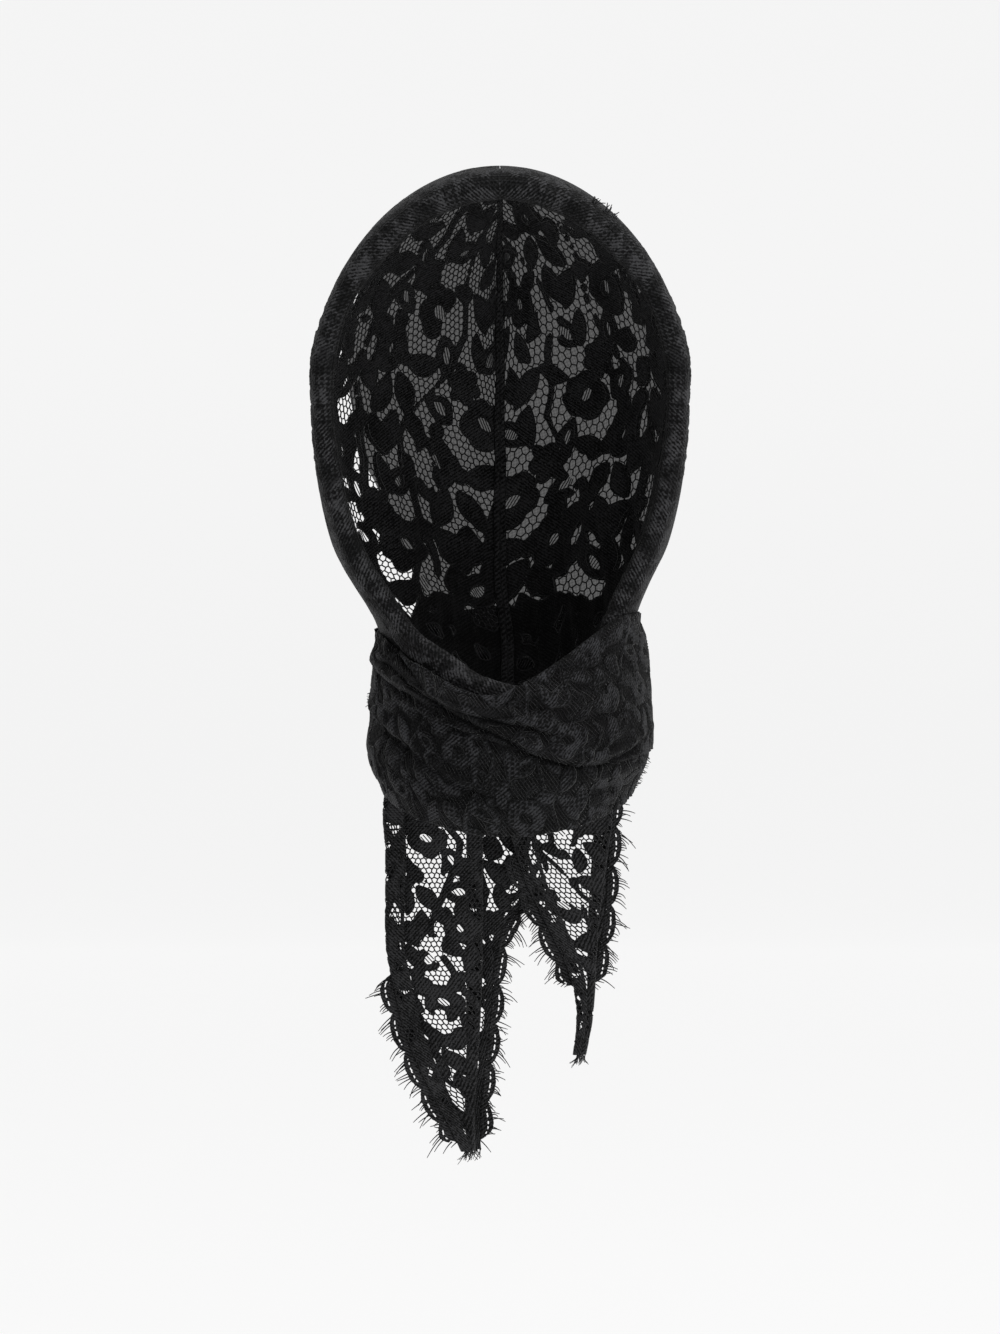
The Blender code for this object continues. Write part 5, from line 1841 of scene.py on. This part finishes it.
class HEADSCARF_OT_hood(bpy.types.Operator):
    """Lay the lace on both halves of the hood, with the tulle and the back seam"""

    bl_idname = "headscarf.hood"
    bl_label = "Hood"

    def execute(self, context):
        looks, panel = finishes(context.scene), Panel()
        lace = millimetres(context.scene.headscarf_lace)
        cloth, thread = looks["clothwork"], looks["lace thread"]
        for name, side in (("hood_left", -1), ("hood_right", 1)):
            piece = make_hood_piece(panel, side, name + "_lace", cloth, thread, lace)
            dress(piece, name)
        for name, side in (("lining_left", -1), ("lining_right", 1)):
            piece = make_lining_piece(panel, side, name + "_tulle", looks["tulle net"])
            dress(piece, name)
        piece = make_seam_piece("back_seam_tape", cloth, thread)
        dress(piece, "back_seam")
        return {"FINISHED"}


class HEADSCARF_OT_bands(bpy.types.Operator):
    """Roll the band round the face opening"""

    bl_idname = "headscarf.bands"
    bl_label = "Rolled band"

    def execute(self, context):
        looks, neck = finishes(context.scene), Neck()
        lace = millimetres(context.scene.headscarf_lace)
        cloth, thread = looks["band lace"], looks["lace thread"]
        for name, side in (("band_left", -1), ("band_right", 1)):
            piece = make_band_piece(neck, side, name + "_roll", cloth, thread, lace)
            dress(piece, name)
        return {"FINISHED"}


class HEADSCARF_OT_winding(bpy.types.Operator):
    """Wind the three stretches round the neck and tie the knot"""

    bl_idname = "headscarf.winding"
    bl_label = "Winding and knot"

    def execute(self, context):
        looks, neck = finishes(context.scene), Neck()
        lace = millimetres(context.scene.headscarf_lace)
        cloth, thread = looks["winding cloth"], looks["winding thread"]
        for name, stretch in wrap_pieces(neck).items():
            piece = make_wrap_piece(neck, name + "_lace", stretch, cloth, thread, lace)
            dress(piece, name)
        dress(make_knot_piece("knot_lace", cloth, thread, lace), "knot")
        return {"FINISHED"}


class HEADSCARF_OT_ends(bpy.types.Operator):
    """Hang the two ends with their scalloped borders and eyelash threads"""

    bl_idname = "headscarf.ends"
    bl_label = "Ends and borders"

    def execute(self, context):
        looks, lace = finishes(context.scene), millimetres(context.scene.headscarf_lace)
        lashes = millimetres(context.scene.headscarf_lashes)
        cloth, thread = looks["clothwork"], looks["lace thread"]
        ends = {"left": HangingEnd(LEFT_END), "right": HangingEnd(RIGHT_END)}
        for side, end in ends.items():
            name = "end_" + side
            piece = make_end_piece(end, END_CUTS[side], name + "_lace", cloth, thread, lace)
            dress(piece, name)
        for border in BORDERS:
            name = border.name + "_lashes"
            piece = make_border_piece(ends[border.end], border, name, cloth, thread, lashes)
            dress(piece, border.name)
        return {"FINISHED"}


class HEADSCARF_OT_stage(bpy.types.Operator):
    """Set the pale floor, the studio lights and the camera"""

    bl_idname = "headscarf.stage"
    bl_label = "Stage"

    def execute(self, context):
        make_stage(context.scene)
        return {"FINISHED"}


# The sweep's section in metres, front to back and up: floor, round turn and wall
SWEEP_HALF, FLOOR, TURN_START, TURN, WALL_TOP = 6.0, -0.66, 4.0, 1.0, 5.0
Lamp = namedtuple("Lamp", "name place size power")
LAMPS = [  # places and sizes in metres, power in watts
    Lamp("key", (1.7, -1.0, 1.3), 1.1, 16),
    Lamp("top", (0.3, -0.3, 1.9), 1.0, 24),
    Lamp("front", (0.8, -2.1, 0.1), 0.8, 5),
]
AIM = (0, 0, -0.24)
SENSOR = 36.0


def make_sweep(scene, glow):
    """A pale sweep behind and under the scarf."""
    turn = np.radians(np.linspace(0, 90, 13))
    section = [(-SWEEP_HALF, FLOOR)]
    section += [(TURN_START + TURN * math.sin(a), FLOOR + TURN - TURN * math.cos(a)) for a in turn]
    section += [(TURN_START + TURN, WALL_TOP)]
    count = len(section)
    points = [(x, y, z) for x in (-SWEEP_HALF, SWEEP_HALF) for y, z in section]
    faces = [(count + k, count + k + 1, k + 1, k) for k in range(count - 1)]
    mesh = bpy.data.meshes.new("sweep")
    mesh.from_pydata(points, [], faces)
    mesh.shade_smooth()
    mesh.materials.append(paper_finish("pale paper", glow))
    sweep = bpy.data.objects.new("sweep", mesh)
    scene.collection.objects.link(sweep)


def make_stage(scene):
    """The sweep, an even light with three soft lamps, and the camera."""
    stage = scene.headscarf_stage
    make_sweep(scene, stage.glow)
    scene.world = bpy.data.worlds.new("studio")
    scene.world.use_nodes = True
    background = scene.world.node_tree.nodes["Background"]
    background.inputs["Color"].default_value = (1, 1, 1, 1)
    background.inputs["Strength"].default_value = stage.sky
    scene.view_settings.view_transform = "Standard"
    for lamp in LAMPS:
        light = bpy.data.lights.new(lamp.name, "AREA")
        light.size, light.energy = lamp.size, lamp.power
        hung = bpy.data.objects.new(lamp.name, light)
        hung.location = lamp.place
        hung.rotation_euler = (Vector(AIM) - Vector(lamp.place)).to_track_quat("-Z", "Y").to_euler()
        scene.collection.objects.link(hung)
    lens = bpy.data.cameras.new("camera")
    lens.sensor_fit, lens.sensor_width = "HORIZONTAL", SENSOR
    lens.lens = SENSOR * stage.distance / stage.wide
    lens.dof.use_dof = False
    camera = bpy.data.objects.new("camera", lens)
    camera.location = (0, -stage.distance, stage.height)
    camera.rotation_euler = (math.radians(90), 0, 0)
    scene.collection.objects.link(camera)
    scene.camera = camera


class HEADSCARF_PT_panel(bpy.types.Panel):
    """Lists the scarf's settings and pieces"""

    bl_idname = "HEADSCARF_PT_panel"
    bl_label = "Lace headscarf"
    bl_space_type = "VIEW_3D"
    bl_region_type = "UI"
    bl_category = "Lace headscarf"

    def draw(self, context):
        for name in SETTINGS:
            group = getattr(context.scene, name)
            for key in group.__annotations__:
                self.layout.prop(group, key)
        for operator in OPERATORS:
            self.layout.operator(operator.bl_idname)


SETTINGS = {
    "headscarf_lace": HEADSCARF_PG_lace,
    "headscarf_lashes": HEADSCARF_PG_lashes,
    "headscarf_looks": HEADSCARF_PG_looks,
    "headscarf_stage": HEADSCARF_PG_stage,
}
OPERATORS = (
    HEADSCARF_OT_hood,
    HEADSCARF_OT_bands,
    HEADSCARF_OT_winding,
    HEADSCARF_OT_ends,
    HEADSCARF_OT_stage,
)
CLASSES = (*SETTINGS.values(), *OPERATORS, HEADSCARF_PT_panel)


def register():
    for cls in CLASSES:
        bpy.utils.register_class(cls)
    for name, group in SETTINGS.items():
        setattr(bpy.types.Scene, name, PointerProperty(type=group))


def unregister():
    for name in SETTINGS:
        delattr(bpy.types.Scene, name)
    for cls in reversed(CLASSES):
        bpy.utils.unregister_class(cls)


def main():
    register()
    bpy.ops.headscarf.hood()
    bpy.ops.headscarf.bands()
    bpy.ops.headscarf.winding()
    bpy.ops.headscarf.ends()
    bpy.ops.headscarf.stage()


if __name__ == "__main__":
    main()
